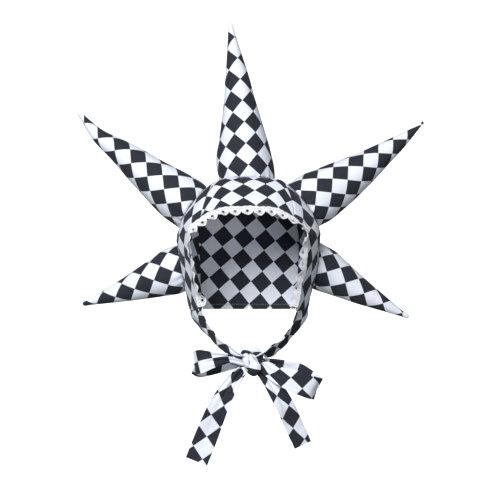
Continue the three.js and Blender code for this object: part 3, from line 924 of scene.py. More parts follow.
@dataclass
class Bonnet:
    """The bonnet's own panels: three of the band, the crown strip and the back."""

    form: BonnetForm
    cloth: bpy.types.Material
    face_angle: float = 57
    back_angle: float = 27
    seam_half_gap: float = 0.12
    seam_share: float = 0.003
    back_columns: int = 150
    back_rows: int = 60
    back_centre: float = 0.02
    back_wave: tuple = (2.0 * MM, 34 * MM, 44 * MM)
    back_ripple: tuple = (0.6 * MM, 14 * MM, 20 * MM)
    back_sag_reach: float = 0.4
    back_fill: float = 0.92
    centre_print: Print = Print(42, 0.83, 0.47, 1.10)
    left_print: Print = Print(23, 1.89, 0.92, 1.02)
    right_print: Print = Print(66, 1.82, 1.05, 0.99)
    crown_print: Print = Print(37, 1.61, 0.22, 0.99)
    back_print: Print = Print(50, 0.88, 0.13)

    def panel_angle(self, place: float) -> float:
        """Return the angle of the centre panel's edge at a place on the band."""
        return self.face_angle + (self.back_angle - self.face_angle) * place

    def panels(self) -> list[Panel]:
        """Return the band's three panels and the crown strip.

        Returns:
            The panels, in the order in which they are built.
        """
        last_band = 1 - self.seam_share
        gap = self.seam_half_gap
        return [
            Panel(
                self.form, "band_centre_cloth", 0, last_band,
                lambda place: -self.panel_angle(place) + gap,
                lambda place: self.panel_angle(place) - gap,
                self.centre_print, 110, 56, True, True, False, True, 1.0,
            ),
            Panel(
                self.form, "band_left_cloth", 0, last_band,
                lambda place: -180,
                lambda place: -self.panel_angle(place) - gap,
                self.left_print, 130, 56, False, True, False, True, 2.0,
            ),
            Panel(
                self.form, "band_right_cloth", 0, last_band,
                lambda place: self.panel_angle(place) + gap,
                lambda place: 180,
                self.right_print, 130, 56, True, False, False, True, 3.0,
            ),
            Panel(
                self.form, "crown_cloth", 1 + self.seam_share, 2 - self.seam_share,
                lambda place: -180,
                lambda place: 180,
                self.crown_print, 260, 64, False, False, True, False, 4.0,
            ),
        ]

    def build(self) -> None:
        """Build and dress every panel."""
        nodes = {
            "band_centre_cloth": "band_centre",
            "band_left_cloth": "band_left",
            "band_right_cloth": "band_right",
            "crown_cloth": "crown_panel",
        }
        for panel in self.panels():
            piece = panel.build()
            dress(piece, self.cloth, [nodes[panel.name]])
            width, length = panel.spans()
        self.build_back()

    def build_back(self) -> None:
        """Build the flat back panel with its domed middle."""
        columns, rows = self.back_columns, self.back_rows
        wave_out, wave_across, wave_up = self.back_wave
        ripple_out, ripple_across, ripple_up = self.back_ripple
        points = np.zeros((rows + 1, columns + 1, 3))
        centre = Vector((0, self.form.back.y, self.form.hem))
        rear = self.form.back.y + self.form.fit_gap + self.form.cloth / 2
        for row in range(rows + 1):
            share = 1 - (1 - self.back_centre) * row / rows
            for column in range(columns + 1):
                angle = -180 + 360 * column / columns
                edge = self.form.point(angle, 2, self.form.cloth / 2)
                spot = centre.lerp(edge, share)
                height = (spot.z - self.form.hem) / (self.form.back.top - self.form.hem)
                rise = math.sin(math.pi * min(max(height, 0), 1))
                dome = self.form.back_dome * (1 - share * share) * rise
                wave = wave_out * crumple(spot.x / wave_across, spot.z / wave_up, 9.0)
                wave += ripple_out * crumple(spot.x / ripple_across, spot.z / ripple_up, 9.5)
                depth = rear + dome + wave * (1 - share)
                points[row, column] = (spot.x, depth, spot.z)
        flat = self.back_print.lay(points[..., [0, 2]])
        heights = (points[..., 2] - self.form.hem) / (self.form.back.top - self.form.hem)
        points[..., 2] -= self.form.back_sag * np.clip(1 - heights / self.back_sag_reach, 0, 1) ** 2
        piece = cloth_object("back_cloth", points, flat, self.form.cloth)
        dress(piece, self.cloth, ["back_panel"])
        low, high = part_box("back_panel")
        size = high - low
        size.x * size.z * self.back_fill


# Stuffed spikes


@dataclass(frozen=True)
class Bend:
    """A soft sideways bend of a spike, at a share of its length."""

    share: float
    reach: float
    aside: float


@dataclass(frozen=True)
class Spike:
    """One stuffed cone: where it roots, how it leans, how big it is and how its print lies."""

    name: str
    root: float
    lean: float
    sag: float
    length: float
    width: float
    printed: Print
    seed: float
    bends: tuple = ()
    flare: float = 0.0
    knotted: bool = False


@dataclass
class Spikes:
    """The five stuffed spikes in the seam behind the band."""

    form: BonnetForm
    cloth: bpy.types.Material
    columns: int = 84
    rows: int = 100
    slack: float = 0.985
    most_swell: float = 2.5 * MM
    swell_frames: int = 16
    root_rows: int = 3
    tip_rows: int = 6
    swelling: tuple = (
        ("quality", 6),
        ("mass", 0.02),
        ("tension_stiffness", 12),
        ("compression_stiffness", 12),
        ("shear_stiffness", 4),
        ("bending_stiffness", 0.1),
        ("use_pressure", True),
        ("uniform_pressure_force", 180),
        ("vertex_group_mass", "held"),
    )
    root_depth: float = 16 * MM
    tip_radius: float = 3.0 * MM
    neck_radius: float = 0.5 * MM
    neck_slope: float = 0.26
    flare_reach: float = 0.36
    tuck: float = 1.7 * MM
    tuck_reach: float = 3.2 * MM
    knot_half: float = 1.9 * MM
    knot_tall: float = 2.3 * MM
    knot_rise: float = 1.6 * MM
    along: tuple = (0, 0.1, 0.25, 0.5, 0.75, 0.93)
    widths: tuple = (0.97, 1, 0.86, 0.595, 0.325, 0.13)
    gather: float = 1.1 * MM
    gather_reach: float = 13 * MM
    gathers: int = 17
    gather_wander: float = 2.5
    softness: float = 0.7 * MM
    soft_length: float = 38 * MM
    soft_radius: float = 12 * MM
    soft_turn: float = 1.2
    least_radius: float = 0.15 * MM
    tip_allowance: float = 2 * MM
    row_ease: float = 0.35
    root_searches: int = 26
    winding: float = 0.09
    winds: int = 9
    spikes: tuple = (
        Spike(
            "spike_top", -3, -5.5, 0.012, 208 * MM, 71 * MM, Print(45, 1.06, 0.67), 11.0,
            (Bend(0, 0.096, 2.8 * MM),), 0.08,
        ),
        Spike(
            "spike_upper_left", -57, -50, -0.022, 197 * MM, 68 * MM, Print(-45, 1.81, 0.57, 1.03), 12.0,
            (Bend(0.8, 0.15, -4.8 * MM),),
        ),
        Spike(
            "spike_upper_right", 54.5, 55.8, 0.022, 188.5 * MM, 72.5 * MM,
            Print(38, 0.86, 0.14, 1.05), 13.0, knotted=True,
        ),
        Spike(
            "spike_lower_left", -130, -110.5, -0.014, 141 * MM, 62 * MM, Print(42, 0.58, 0.92, 1.02), 14.0,
        ),
        Spike("spike_lower_right", 127, 119.5, 0.014, 141 * MM, 57.5 * MM, Print(-46, 1.5, 0.41), 15.0),
    )

    def radius(self, spike: Spike, distance: float) -> float:
        """Return a spike's radius at a distance out along its axis.

        Args:
            spike: the spike.
            distance: how far out.

        Returns:
            The radius.
        """
        share = max(distance / spike.length, 0.0)
        end = self.along[-1]
        flare = 1 + spike.flare * math.exp(-((share / self.flare_reach) ** 4))
        wide = smooth_read(self.along, self.widths, share) * spike.width / 2 * flare
        if spike.knotted:
            return min(wide, self.neck_radius + max(spike.length - distance, 0.0) * self.neck_slope)
        if share <= end:
            return wide
        start = self.widths[-1] * spike.width / 2
        rest = (share - end) / (1 - end)
        closing = math.sqrt(max(1 - rest**6, 0.0))
        return (start + (self.tip_radius - start) * rest) * closing

    def place(self, spike: Spike, distance: float, turn: float, radius: float) -> Vector:
        """Return a point round a spike's sagging axis.

        Args:
            spike: the spike.
            distance: how far out along the axis.
            turn: angle round it, 0 towards the viewer.
            radius: distance from the axis.

        Returns:
            The point.
        """
        anchor = self.form.plain(spike.root, 1)
        anchor.y = 0
        lean = math.radians(spike.lean)
        axis = Vector((math.sin(lean), 0, math.cos(lean)))
        sideways = Vector((math.cos(lean), 0, -math.sin(lean)))
        share = min(max(distance / spike.length, 0), 1)
        offset = spike.sag * spike.length * math.sin(math.pi * share)
        for bend in spike.bends:
            offset += bend.aside * math.exp(-(((share - bend.share) / bend.reach) ** 2))
        spot = anchor + axis * distance + sideways * (offset + radius * math.sin(turn))
        return spot + Vector((0, -radius * math.cos(turn), 0))

    def root_distance(self, spike: Spike, turn: float) -> float:
        """Return the distance along the axis where a line of the spike leaves the bonnet.

        Args:
            spike: the spike.
            turn: the line's angle round the axis.

        Returns:
            The distance.
        """
        low, high = -self.root_depth * 2.2, spike.length * 0.4
        grown = self.form.cloth / 2 + self.form.fit_gap
        for _ in range(self.root_searches):
            middle = (low + high) / 2
            if self.form.outside(self.place(spike, middle, turn, self.radius(spike, middle)), grown):
                high = middle
            else:
                low = middle
        return high

    def build_one(self, spike: Spike) -> bpy.types.Object:
        """Build one spike.

        Args:
            spike: the spike.

        Returns:
            The object.
        """
        points = np.zeros((self.rows + 1, self.columns, 3))
        flat = np.zeros((self.rows + 1, self.columns + 1, 2))
        turns = [2 * math.pi * column / self.columns - math.pi for column in range(self.columns + 1)]
        roots = [self.root_distance(spike, turn) for turn in turns]
        for row in range(self.rows + 1):
            share = row / self.rows
            share = share * (2 - share) * self.row_ease + share * (1 - self.row_ease)
            for column, turn in enumerate(turns):
                distance = roots[column] + (spike.length - roots[column]) * share
                radius = self.radius(spike, distance) * self.slack
                from_root = distance - roots[column]
                fade = math.exp(-from_root / self.gather_reach)
                wander = self.gather_wander * crumple(turn, 0, spike.seed)
                pleat = math.sin(turn * self.gathers + wander)
                relief = self.gather * fade * pleat
                spin = Vector((math.cos(turn), math.sin(turn), 0)) * self.soft_turn
                soft = noise.noise(Vector((spin.x, spin.y, distance / self.soft_length + spike.seed)))
                relief += self.softness * soft * 1.5 * min(radius / self.soft_radius, 1)
                if from_root < self.tuck_reach:
                    relief -= self.tuck * (1 - from_root / self.tuck_reach) ** 2
                if column < self.columns:
                    wide = max(radius + relief, self.least_radius)
                    points[row, column] = self.place(spike, distance, turn, wide)
                reach = spike.length - distance + self.tip_allowance
                swing = turn * radius / max(reach, 1 * MM)
                flat[row, column] = (reach * math.sin(swing), -reach * math.cos(swing))
        return round_object(spike.name + "_cloth", points, spike.printed.lay(flat))

    def build_knot(self, spike: Spike) -> None:
        """Wind the small knot of black thread that closes a spike's tip.

        Args:
            spike: the spike.
        """
        rings, columns = 18, 20
        points = np.zeros((rings + 1, columns, 3))
        middle = self.place(spike, spike.length, 0, 0) + Vector((0, 0, self.knot_rise))
        for ring in range(rings + 1):
            tilt = math.pi * ring / rings
            for column in range(columns):
                turn = 2 * math.pi * column / columns
                wound = 1 + self.winding * math.sin(self.winds * tilt + turn)
                half = self.knot_half * max(math.sin(tilt), 0.03) * wound
                rise = self.knot_tall * math.cos(tilt)
                spot = Vector((half * math.sin(turn), -half * math.cos(turn), rise))
                points[ring, column] = middle + spot
        piece = round_object(spike.name + "_knot", points[::-1], np.zeros((rings + 1, columns + 1, 2)))
        black = Thread("black thread", (0.03, 0.03, 0.035, 1), (0.01, 0.01, 0.012, 1))
        dress(piece, black.material())

    def swell(self, pieces: Sequence[bpy.types.Object]) -> None:
        """Blow the spikes up by a short cloth simulation, held at root and tip and capped.

        Args:
            pieces: the spikes' objects.
        """
        held_rows = (*range(self.root_rows), *range(self.rows + 1 - self.tip_rows, self.rows + 1))
        held = [row * self.columns + column for row in held_rows for column in range(self.columns)]
        for piece in pieces:
            piece.vertex_groups.new(name="held").add(held, 1, "REPLACE")
            cloth = piece.modifiers.new("swell", "CLOTH")
            cloth.point_cache.frame_start = 1
            cloth.point_cache.frame_end = self.swell_frames
            for name, value in self.swelling:
                setattr(cloth.settings, name, value)
            cloth.settings.effector_weights.gravity = 0
        for step in range(1, self.swell_frames + 1):
            bpy.context.scene.frame_set(step)
        layers = bpy.context.evaluated_depsgraph_get()
        for piece in pieces:
            swollen = [vertex.co.copy() for vertex in piece.evaluated_get(layers).data.vertices]
            piece.modifiers.remove(piece.modifiers["swell"])
            moves = [after - vertex.co for vertex, after in zip(piece.data.vertices, swollen)]
            for vertex, move in zip(piece.data.vertices, moves):
                vertex.co += move * min(1.0, self.most_swell / max(move.length, 1e-9))
            lengths = sorted(move.length / MM for move in moves)
            middle = lengths[len(lengths) // 2]
            LOG.info("%s swells by %.2f mm in the middle, %.2f mm at most", piece.name, middle, lengths[-1])
        bpy.context.scene.frame_set(1)

    def build(self) -> None:
        """Build, swell and dress the spikes."""
        pieces = [self.build_one(spike) for spike in self.spikes]
        self.swell(pieces)
        for spike, piece in zip(self.spikes, pieces):
            smooth = piece.modifiers.new("smooth", "SUBSURF")
            smooth.levels = smooth.render_levels = 1
            dress(piece, self.cloth, [spike.name])
            if spike.knotted:
                self.build_knot(spike)


# Lace


@dataclass
class FaceLace:
    """The pierced, scalloped lace round the face opening."""

    form: BonnetForm
    cotton: bpy.types.Material
    width: float = 12 * MM
    thickness: float = 0.8 * MM
    pitch: float = 15.5 * MM
    scallop_depth: float = 5.4 * MM
    eyelet: float = 4.0 * MM
    eyelet_place: float = 0.58
    pinhole: float = 1.3 * MM
    pinhole_ring: float = 1.45 * MM
    end_margin: float = 5 * MM
    overlap: float = 2.4 * MM
    heading_wave: float = 0.8 * MM
    heading_wander: float = 0.8 * MM
    heading: tuple = (0.5 * MM, 1.2 * MM, 0.8 * MM)
    picot: float = 0.35 * MM
    roundness: float = 0.5
    wave: float = 1.5 * MM
    droop: float = 1.6 * MM
    slow_lean: float = 6
    quick_lean: float = 14
    lean_angles: tuple = (
        -180, -168, -156, -130, -98, -84, -60, -30, 0, 35, 62, 75, 99, 107, 118, 132, 150, 162, 180,
    )
    leans: tuple = (15, 24, 76, 80, 77, 42, 34, 38, 36, 42, 72, 85, 82, 38, 42, 52, 44, 30, 18)

    def edge(self) -> list[tuple[float, float, Vector]]:
        """Return samples of the face edge: angle, length so far and point.

        Returns:
            The samples, from the left hem over the crown to the right hem.
        """
        samples = []
        length = 0.0
        before = None
        for step in range(-720, 721):
            angle = step / 4
            point = self.form.point(angle, 0)
            if before is not None:
                length += (point - before).length
            samples.append((angle, length, point))
            before = point
        return samples

    def cell(self, pitch: float) -> tuple[list, list]:
        """Return one scallop's flat corners and triangles.

        Args:
            pitch: the scallop's width.

        Returns:
            The corners as pairs, and triangles of corner numbers.
        """
        arc = 16
        outline = [
            Vector((pitch * step / arc, -self.heading_wave * abs(math.sin(2 * math.pi * step / arc))))
            for step in range(arc + 1)
        ]
        for step in range(arc, -1, -1):
            share = step / arc
            picot = self.picot * abs(math.sin(share * math.pi * 5))
            arch = math.sin(math.pi * share) ** self.roundness
            rise = self.width - self.scallop_depth * (1 - arch) + picot
            outline.append(Vector((pitch * share, rise)))
        holes = [(Vector((pitch / 2, self.width * self.eyelet_place)), self.eyelet / 2, 14)]
        for step in range(5):
            turn = math.pi * (0.1 + 0.2 * step)
            reach = self.eyelet / 2 + self.pinhole_ring
            spot = holes[0][0] + Vector((math.cos(turn), math.sin(turn))) * reach
            holes.append((spot, self.pinhole / 2, 7))
        for step in range(4):
            holes.append((Vector((pitch * (0.125 + 0.25 * step), self.width * 0.24)), self.pinhole / 2, 7))
        corners = list(outline)
        edges = [(index, (index + 1) % len(outline)) for index in range(len(outline))]
        for centre, radius, sides in holes:
            start = len(corners)
            for side in range(sides):
                turn = 2 * math.pi * side / sides
                corners.append(centre + Vector((math.cos(turn), math.sin(turn))) * radius)
                edges.append((start + side, start + (side + 1) % sides))
        found = geometry.delaunay_2d_cdt(corners, edges, [list(range(len(outline)))], 1, 1e-7)
        places, triangles = found[0], found[2]
        kept = []
        for triangle in triangles:
            middle = sum((places[index] for index in triangle), Vector((0, 0))) / 3
            if all((middle - centre).length > radius * 0.97 for centre, radius, _ in holes):
                kept.append(list(triangle))
        return places, kept

    def build(self) -> None:
        """Build and dress the lace."""
        samples = self.edge()
        lengths = [sample[1] for sample in samples]
        usable = lengths[-1] - 2 * self.end_margin
        scallops = round(usable / self.pitch)
        pitch = usable / scallops
        places, triangles = self.cell(pitch)
        corners: list[tuple[float, float]] = []
        numbers: dict[tuple[int, int], int] = {}
        faces = []
        for scallop in range(scallops):
            names = []
            for place in places:
                along = scallop * pitch + place.x
                key = (round(along / (0.01 * MM)), round(place.y / (0.01 * MM)))
                if key not in numbers:
                    numbers[key] = len(corners)
                    corners.append((along, place.y))
                names.append(numbers[key])
            faces += [[names[index] for index in triangle] for triangle in triangles]
        ridge, ridge_place, ridge_reach = self.heading
        front = []
        back = []
        for along, across in corners:
            place, direction, normal = self.stand(samples, lengths, along + self.end_margin)
            reached = max(across / self.width, 0.0)
            wave = self.wave * math.sin(2 * math.pi * along / pitch + 0.6) * reached**1.5
            droop = self.droop * crumple(along / (22 * MM), 0.3, 21.0) * reached**2
            heading = ridge * math.exp(-(((across - ridge_place) / ridge_reach) ** 2))
            spot = place + direction * across + normal * (wave + droop)
            front.append(spot + normal * (self.thickness / 2 + heading))
            back.append(spot - normal * (self.thickness / 2))
        count = len(corners)
        seen = {(a, b) for face in faces for a, b in zip(face, face[1:] + face[:1])}
        rims = [[b, a, a + count, b + count] for a, b in seen if (b, a) not in seen]
        rims.sort()
        under = [[index + count for index in face[::-1]] for face in faces]
        piece = make_object("face_lace", np.array(front + back), faces + under + rims, None)
        dress(piece, self.cotton, ["lace_trim"])

    def stand(self, samples: list, lengths: list, distance: float) -> tuple[Vector, Vector, Vector]:
        """Return where the lace stands at a distance along the edge.

        Args:
            samples: the edge's samples.
            lengths: their lengths.
            distance: how far along.

        Returns:
            The root point, the direction to the scallops and the lace's normal.
        """
        index = min(max(int(np.searchsorted(lengths, distance)), 1), len(samples) - 1)
        first, second = samples[index - 1], samples[index]
        share = (distance - first[1]) / (second[1] - first[1])
        angle = first[0] + (second[0] - first[0]) * share
        point = first[2].lerp(second[2], share)
        ahead = samples[min(index + 6, len(samples) - 1)][2]
        tangent = (ahead - samples[max(index - 7, 0)][2]).normalized()
        forward = Vector((0, -1, 0))
        inward = -forward.cross(tangent).normalized()
        lean = math.radians(smooth_read(self.lean_angles, self.leans, angle))
        lean += math.radians(self.slow_lean) * crumple(distance / (30 * MM), 0.7, 22.0)
        lean += math.radians(self.quick_lean) * crumple(distance / (17 * MM), 3.1, 23.0)
        direction = inward * math.cos(lean) + forward * math.sin(lean)
        normal = direction.cross(tangent).normalized()
        overlap = self.overlap + self.heading_wander * crumple(distance / (15 * MM), 5.3, 24.0)
        root = point + forward * (self.form.fit_gap + self.thickness) - inward * overlap
        return root, direction, normal


# Ties and bow


@dataclass(frozen=True)
class Station:
    """A place along a tie: its centre, the direction across, its width, its fold and its crown.

    The crown is how far the tie's middle stands over its edges.
    """

    centre: Vector
    across: Vector
    width: float
    fold: float
    crown: float = 0.0


@dataclass(frozen=True)
class Lay:
    """How one tie is laid: its stations, its print, its wrinkles and how it is held."""

    name: str
    node: str
    stations: Sequence[Station]
    printed: Print
    seed: float
    held: str
    rows: int = 150
    eased_start: float = 0.0
    pleat: float = 2.4 * MM
    cloth_width: float = 29 * MM


@dataclass
class Ties:
    """The chin straps and the bow."""

    form: BonnetForm
    cloth: bpy.types.Material
    width: float = 29 * MM
    thickness: float = 1.3 * MM
    strap_top_width: float = 51 * MM
    strap_tuck: float = 6 * MM
    strap_bulge_angle: float = 43
    strap_hem_share: float = 0.25
    strap_inside: float = 2.0 * MM
    strap_ease: float = 0.3
    strap_pleat: float = 1.2 * MM
    strip_columns: int = 28
    knot_width: float = 25 * MM
    knot_height: float = 36 * MM
    knot_depth: float = 20 * MM
    knot_drop: float = 64 * MM
    knot_forward: float = 14 * MM
    knot_side: float = 3 * MM
    loop_depth: float = 24 * MM
    left_loop: float = 63 * MM
    right_loop: float = 82 * MM
    left_droop: float = 0
    right_droop: float = 24.5
    left_tail: float = 129 * MM
    right_tail: float = 109 * MM
    left_lean: float = 27
    right_lean: float = 30
    left_twist: float = 6
    right_twist: float = 42
    core_print: Print = Print(45, 0.5, 0.5)
    front_print: Print = Print(0, 0.5, 0.93)
    over_print: Print = Print(45, 0.94, 0.41)
    petal_print: Print = Print(45, 1.5, 0.5)
    strand_width: float = 12 * MM
    petal_width: float = 10.5 * MM
    petal_height: float = 19 * MM
    petal_tilt: float = 10
    petal_place: tuple = (-0.235, 0.42, 0.07)
    crease: float = 0.7 * MM
    hem_turn: float = 2.2 * MM
    least_flat: float = 10 * MM

    @property
    def knot(self) -> Vector:
        """The knot's centre."""
        forward = self.form.face.y - self.knot_forward
        return Vector((self.knot_side, forward, self.form.hem - self.knot_drop))

    def in_knot(self, side: Side, across: float, up: float) -> Vector:
        """Return a place in the knot where a tie starts or ends.

        Args:
            side: which side of the knot.
            across: share of the knot's width sideways.
            up: share of the knot's height up.

        Returns:
            The place.
        """
        return self.knot + Vector((side.value * self.knot_width * across, 0, self.knot_height * up))

    def strip(self, lay: Lay) -> bpy.types.Object:
        """Build a tie along its stations.

        Args:
            lay: how the tie is laid.

        Returns:
            The object.
        """
        columns = self.strip_columns
        stations = lay.stations
        keys = [index / (len(stations) - 1) for index in range(len(stations))]
        axes = range(3)
        centres = [[station.centre[axis] for station in stations] for axis in axes]
        acrosses = [[station.across[axis] for station in stations] for axis in axes]
        widths = [station.width for station in stations]
        folds = [station.fold for station in stations]
        crowns = [station.crown for station in stations]
        points = np.zeros((lay.rows + 1, columns + 1, 3))
        flat = np.zeros((lay.rows + 1, columns + 1, 2))
        travelled = 0.0
        before = None
        for row in range(lay.rows + 1):
            share = row / lay.rows
            centre = Vector([smooth_read(keys, centres[axis], share) for axis in axes])
            ahead = Vector([smooth_read(keys, centres[axis], min(share + 0.01, 1)) for axis in axes])
            behind = Vector([smooth_read(keys, centres[axis], max(share - 0.01, 0)) for axis in axes])
            tangent = (ahead - behind).normalized()
            across = Vector([smooth_read(keys, acrosses[axis], share) for axis in axes])
            squared = 1.0 if lay.eased_start == 0 else min(share / lay.eased_start, 1.0)
            across = (across - tangent * across.dot(tangent) * squared).normalized()
            normal = tangent.cross(across).normalized()
            width = smooth_read(keys, widths, share)
            fold = math.radians(smooth_read(keys, folds, share))
            crown = smooth_read(keys, crowns, share)
            travelled += (centre - before).length if before is not None else 0
            before = centre
            squeeze = max(1 - width / lay.cloth_width, 0)
            for column in range(columns + 1):
                turn = column / columns - 0.5
                offset = turn * width
                rise = (abs(offset) - width / 4) * math.sin(fold)
                rise += crown * (math.cos(turn * math.pi) - 0.6)
                rise += squeeze * lay.pleat * math.cos(turn * 5.5 * math.pi + lay.seed)
                rise += self.crease * crumple(travelled / (26 * MM), turn * 1.3, lay.seed)
                rise += self.crease * 0.5 * crumple(travelled / (9 * MM), turn * 2.5, lay.seed + 5)
                edge = (0.5 - abs(turn)) * width
                if edge < self.hem_turn:
                    rise -= 0.35 * MM * (1 - edge / self.hem_turn)
                points[row, column] = centre + across * (offset * math.cos(fold)) + normal * rise
                flat[row, column] = (turn * max(width, lay.cloth_width), travelled)
        return cloth_object(lay.name, points, lay.printed.lay(flat), self.thickness)

    def strap_stations(self, side: Side) -> list[Station]:
        """Return a strap's stations from the band's corner to the knot.

        Args:
            side: which strap.

        Returns:
            The stations.
        """
        sign = side.value
        corner = self.form.plain(sign * 180, 0)
        place = 0.0
        while place < 1 and (self.form.plain(sign * 180, place) - corner).length < self.strap_top_width:
            place += 0.01
        front = self.form.point(sign * 180, 0)
        rear = self.form.point(sign * 180, place)
        start = front.lerp(rear, 0.5)
        start.z = self.form.hem + self.strap_tuck
        end = self.in_knot(side, 0.3, 0.12 if side is Side.LEFT else 0.2)
        drop = (end - start).length
        hem_line = rear - front
        hem_line.z = 0
        hem_line.normalize()
        bulge = math.radians(self.strap_bulge_angle)
        rows = (
            (0, 0, 0, 1.76, 70, 0),
            (0.1, 0.07, 0, 1.6, 69, 6),
            (0.26, 0.1, 0.01, 1.12, 66, 14),
            (0.45, 0.115, 0.03, 1, 72, 18),
            (0.62, 0.125, 0.06, 0.9, 71, 20),
            (0.8, 0.085, 0.12, 0.72, 50, 22),
            (0.92, 0.035, 0.12, 0.6, 40, 22),
            (1, 0, 0, 0.4, 40, 24),
        )
        stations = []
        for along, out, forward, width, turn, fold in rows:
            centre = start.lerp(end, along)
            centre.x += sign * math.cos(bulge) * out * drop
            centre.z -= math.sin(bulge) * out * drop
            centre.y -= forward * drop
            centre.x -= sign * self.strap_inside * max(1 - along * 12, 0)
            angle = math.radians(turn)
            turned = Vector((sign * math.cos(angle), math.sin(angle), 0))
            across = hem_line.lerp(turned, min(1, along / self.strap_hem_share))
            stations.append(Station(centre, across, width * self.width, fold))
        return stations

    def loop_stations(self, side: Side, length: float, droop: float, rows: Sequence) -> list[Station]:
        """Return a loop's stations, out along its front and back behind.

        Args:
            side: which loop.
            length: how far it reaches.
            droop: how far it leans down, in degrees.
            rows: shares of length out, of depth, of width and of lift.

        Returns:
            The stations.
        """
        sign = side.value
        angle = math.radians(droop)
        outward = Vector((sign * math.cos(angle), 0, -math.sin(angle)))
        across = Vector((sign * math.sin(angle), 0, math.cos(angle)))
        stations = []
        for out, deep, width, lift in rows:
            centre = self.in_knot(side, 0.35, 0) + outward * (out * length) + across * (lift * self.width)
            centre.y += deep * self.loop_depth
            stations.append(Station(centre, across, width * self.width, 0))
        return stations

    def tail_stations(self, side: Side, length: float, lean: float, full_twist: float) -> list[Station]:
        """Return a tail's stations down from the knot.

        Args:
            side: which tail.
            length: how long it is.
            lean: how far it swings out, in degrees.
            full_twist: how far its end is turned, in degrees.

        Returns:
            The stations.
        """
        sign = side.value
        angle = math.radians(lean)
        down = Vector((sign * math.sin(angle), 0, -math.cos(angle)))
        across = Vector((math.cos(angle), 0, sign * math.sin(angle)))
        rows = (
            (0, 0, 0, 0.45, 0, 24),
            (0.16, 0.037, 0.02, 0.65, 0.3, 15),
            (0.42, 0.05, 0.05, 0.88, 0.8, 7),
            (0.72, 0.025, 0.02, 1, 0.95, 3),
            (1, 0, 0.05, 1, 1, 2),
        )
        stations = []
        for along, swing, wave, width, twist, fold in rows:
            centre = self.in_knot(side, 0.42, -0.27) + down * (along * length)
            centre += across * (sign * swing * length)
            centre.y -= wave * length
            turn = math.radians(twist * full_twist)
            turned = across * math.cos(turn)
            turned.y = math.sin(turn)
            stations.append(Station(centre, turned, width * self.width, fold))
        return stations

    def build_core(self) -> bpy.types.Object:
        """Build the knot's tight middle, which the strands wrap.

        Returns:
            The object.
        """
        rings, columns = 40, 48
        points = np.zeros((rings + 1, columns, 3))
        flat = np.zeros((rings + 1, columns + 1, 2))
        for ring in range(rings + 1):
            tilt = math.pi * ring / rings
            for column in range(columns + 1):
                turn = 2 * math.pi * column / columns - math.pi
                body = max(math.sin(tilt), 0.02) ** 0.8
                groove = 1 - 0.07 * math.cos(3 * turn + 2.2 * math.cos(tilt))
                groove -= 0.05 * math.cos(tilt * 5 + turn)
                x = self.knot_width * 0.42 * body * math.sin(turn) * groove
                y = -self.knot_depth * 0.38 * body * math.cos(turn) * groove
                z = self.knot_height * 0.42 * math.cos(tilt)
                if column < columns:
                    points[ring, column] = self.knot + Vector((x, y, z))
                flat[ring, column] = (turn * self.knot_width * 0.5, tilt * self.knot_height * 0.45)
        return round_object("bow_knot_core", points[::-1], self.core_print.lay(flat[::-1]))

    def build_petal(self) -> bpy.types.Object:
        """Build the small rolled petal at the knot's left.

        Returns:
            The object.
        """
        rings, columns = 36, 40
        points = np.zeros((rings + 1, columns, 3))
        flat = np.zeros((rings + 1, columns + 1, 2))
        right, forward, up = self.petal_place
        middle = self.knot
        middle += Vector((right * self.knot_width, -forward * self.knot_depth, up * self.knot_height))
        tilt = math.radians(self.petal_tilt)
        for ring in range(rings + 1):
            rise = math.pi * ring / rings
            for column in range(columns + 1):
                turn = 2 * math.pi * column / columns - math.pi
                body = max(math.sin(rise), 0.02) ** 0.85
                bite = math.exp(-(((turn - 1.4) / 0.7) ** 2) - ((rise - 1.85) / 0.35) ** 2)
                groove = 1 - 0.5 * bite
                x = self.petal_width / 2 * body * math.sin(turn) * groove
                y = -self.petal_width * 0.42 * body * math.cos(turn) * groove
                z = self.petal_height / 2 * math.cos(rise)
                right = x * math.cos(tilt) - z * math.sin(tilt)
                up = x * math.sin(tilt) + z * math.cos(tilt)
                if column < columns:
                    points[ring, column] = middle + Vector((right, y, up))
                flat[ring, column] = (x, z)
        return round_object("bow_knot_petal", points[::-1], self.petal_print.lay(flat[::-1]))

    def strand(self, rows: Sequence, crown: float) -> list[Station]:
        """Return the stations of a strand wrapped round the knot.

        Args:
            rows: shares of the knot's width right, of its depth forward and of its height up, then
                the strand's width as a share of the tie's, and its turn from level in degrees.
            crown: how far the strand's middle stands over its edges.

        Returns:
            The stations.
        """
        stations = []
        for right, forward, up, width, turn in rows:
            reach = Vector((right * self.knot_width, -forward * self.knot_depth, up * self.knot_height))
            angle = math.radians(turn)
            across = Vector((math.cos(angle), 0, math.sin(angle)))
            stations.append(Station(self.knot + reach, across, width * self.width, 0, crown))
        return stations

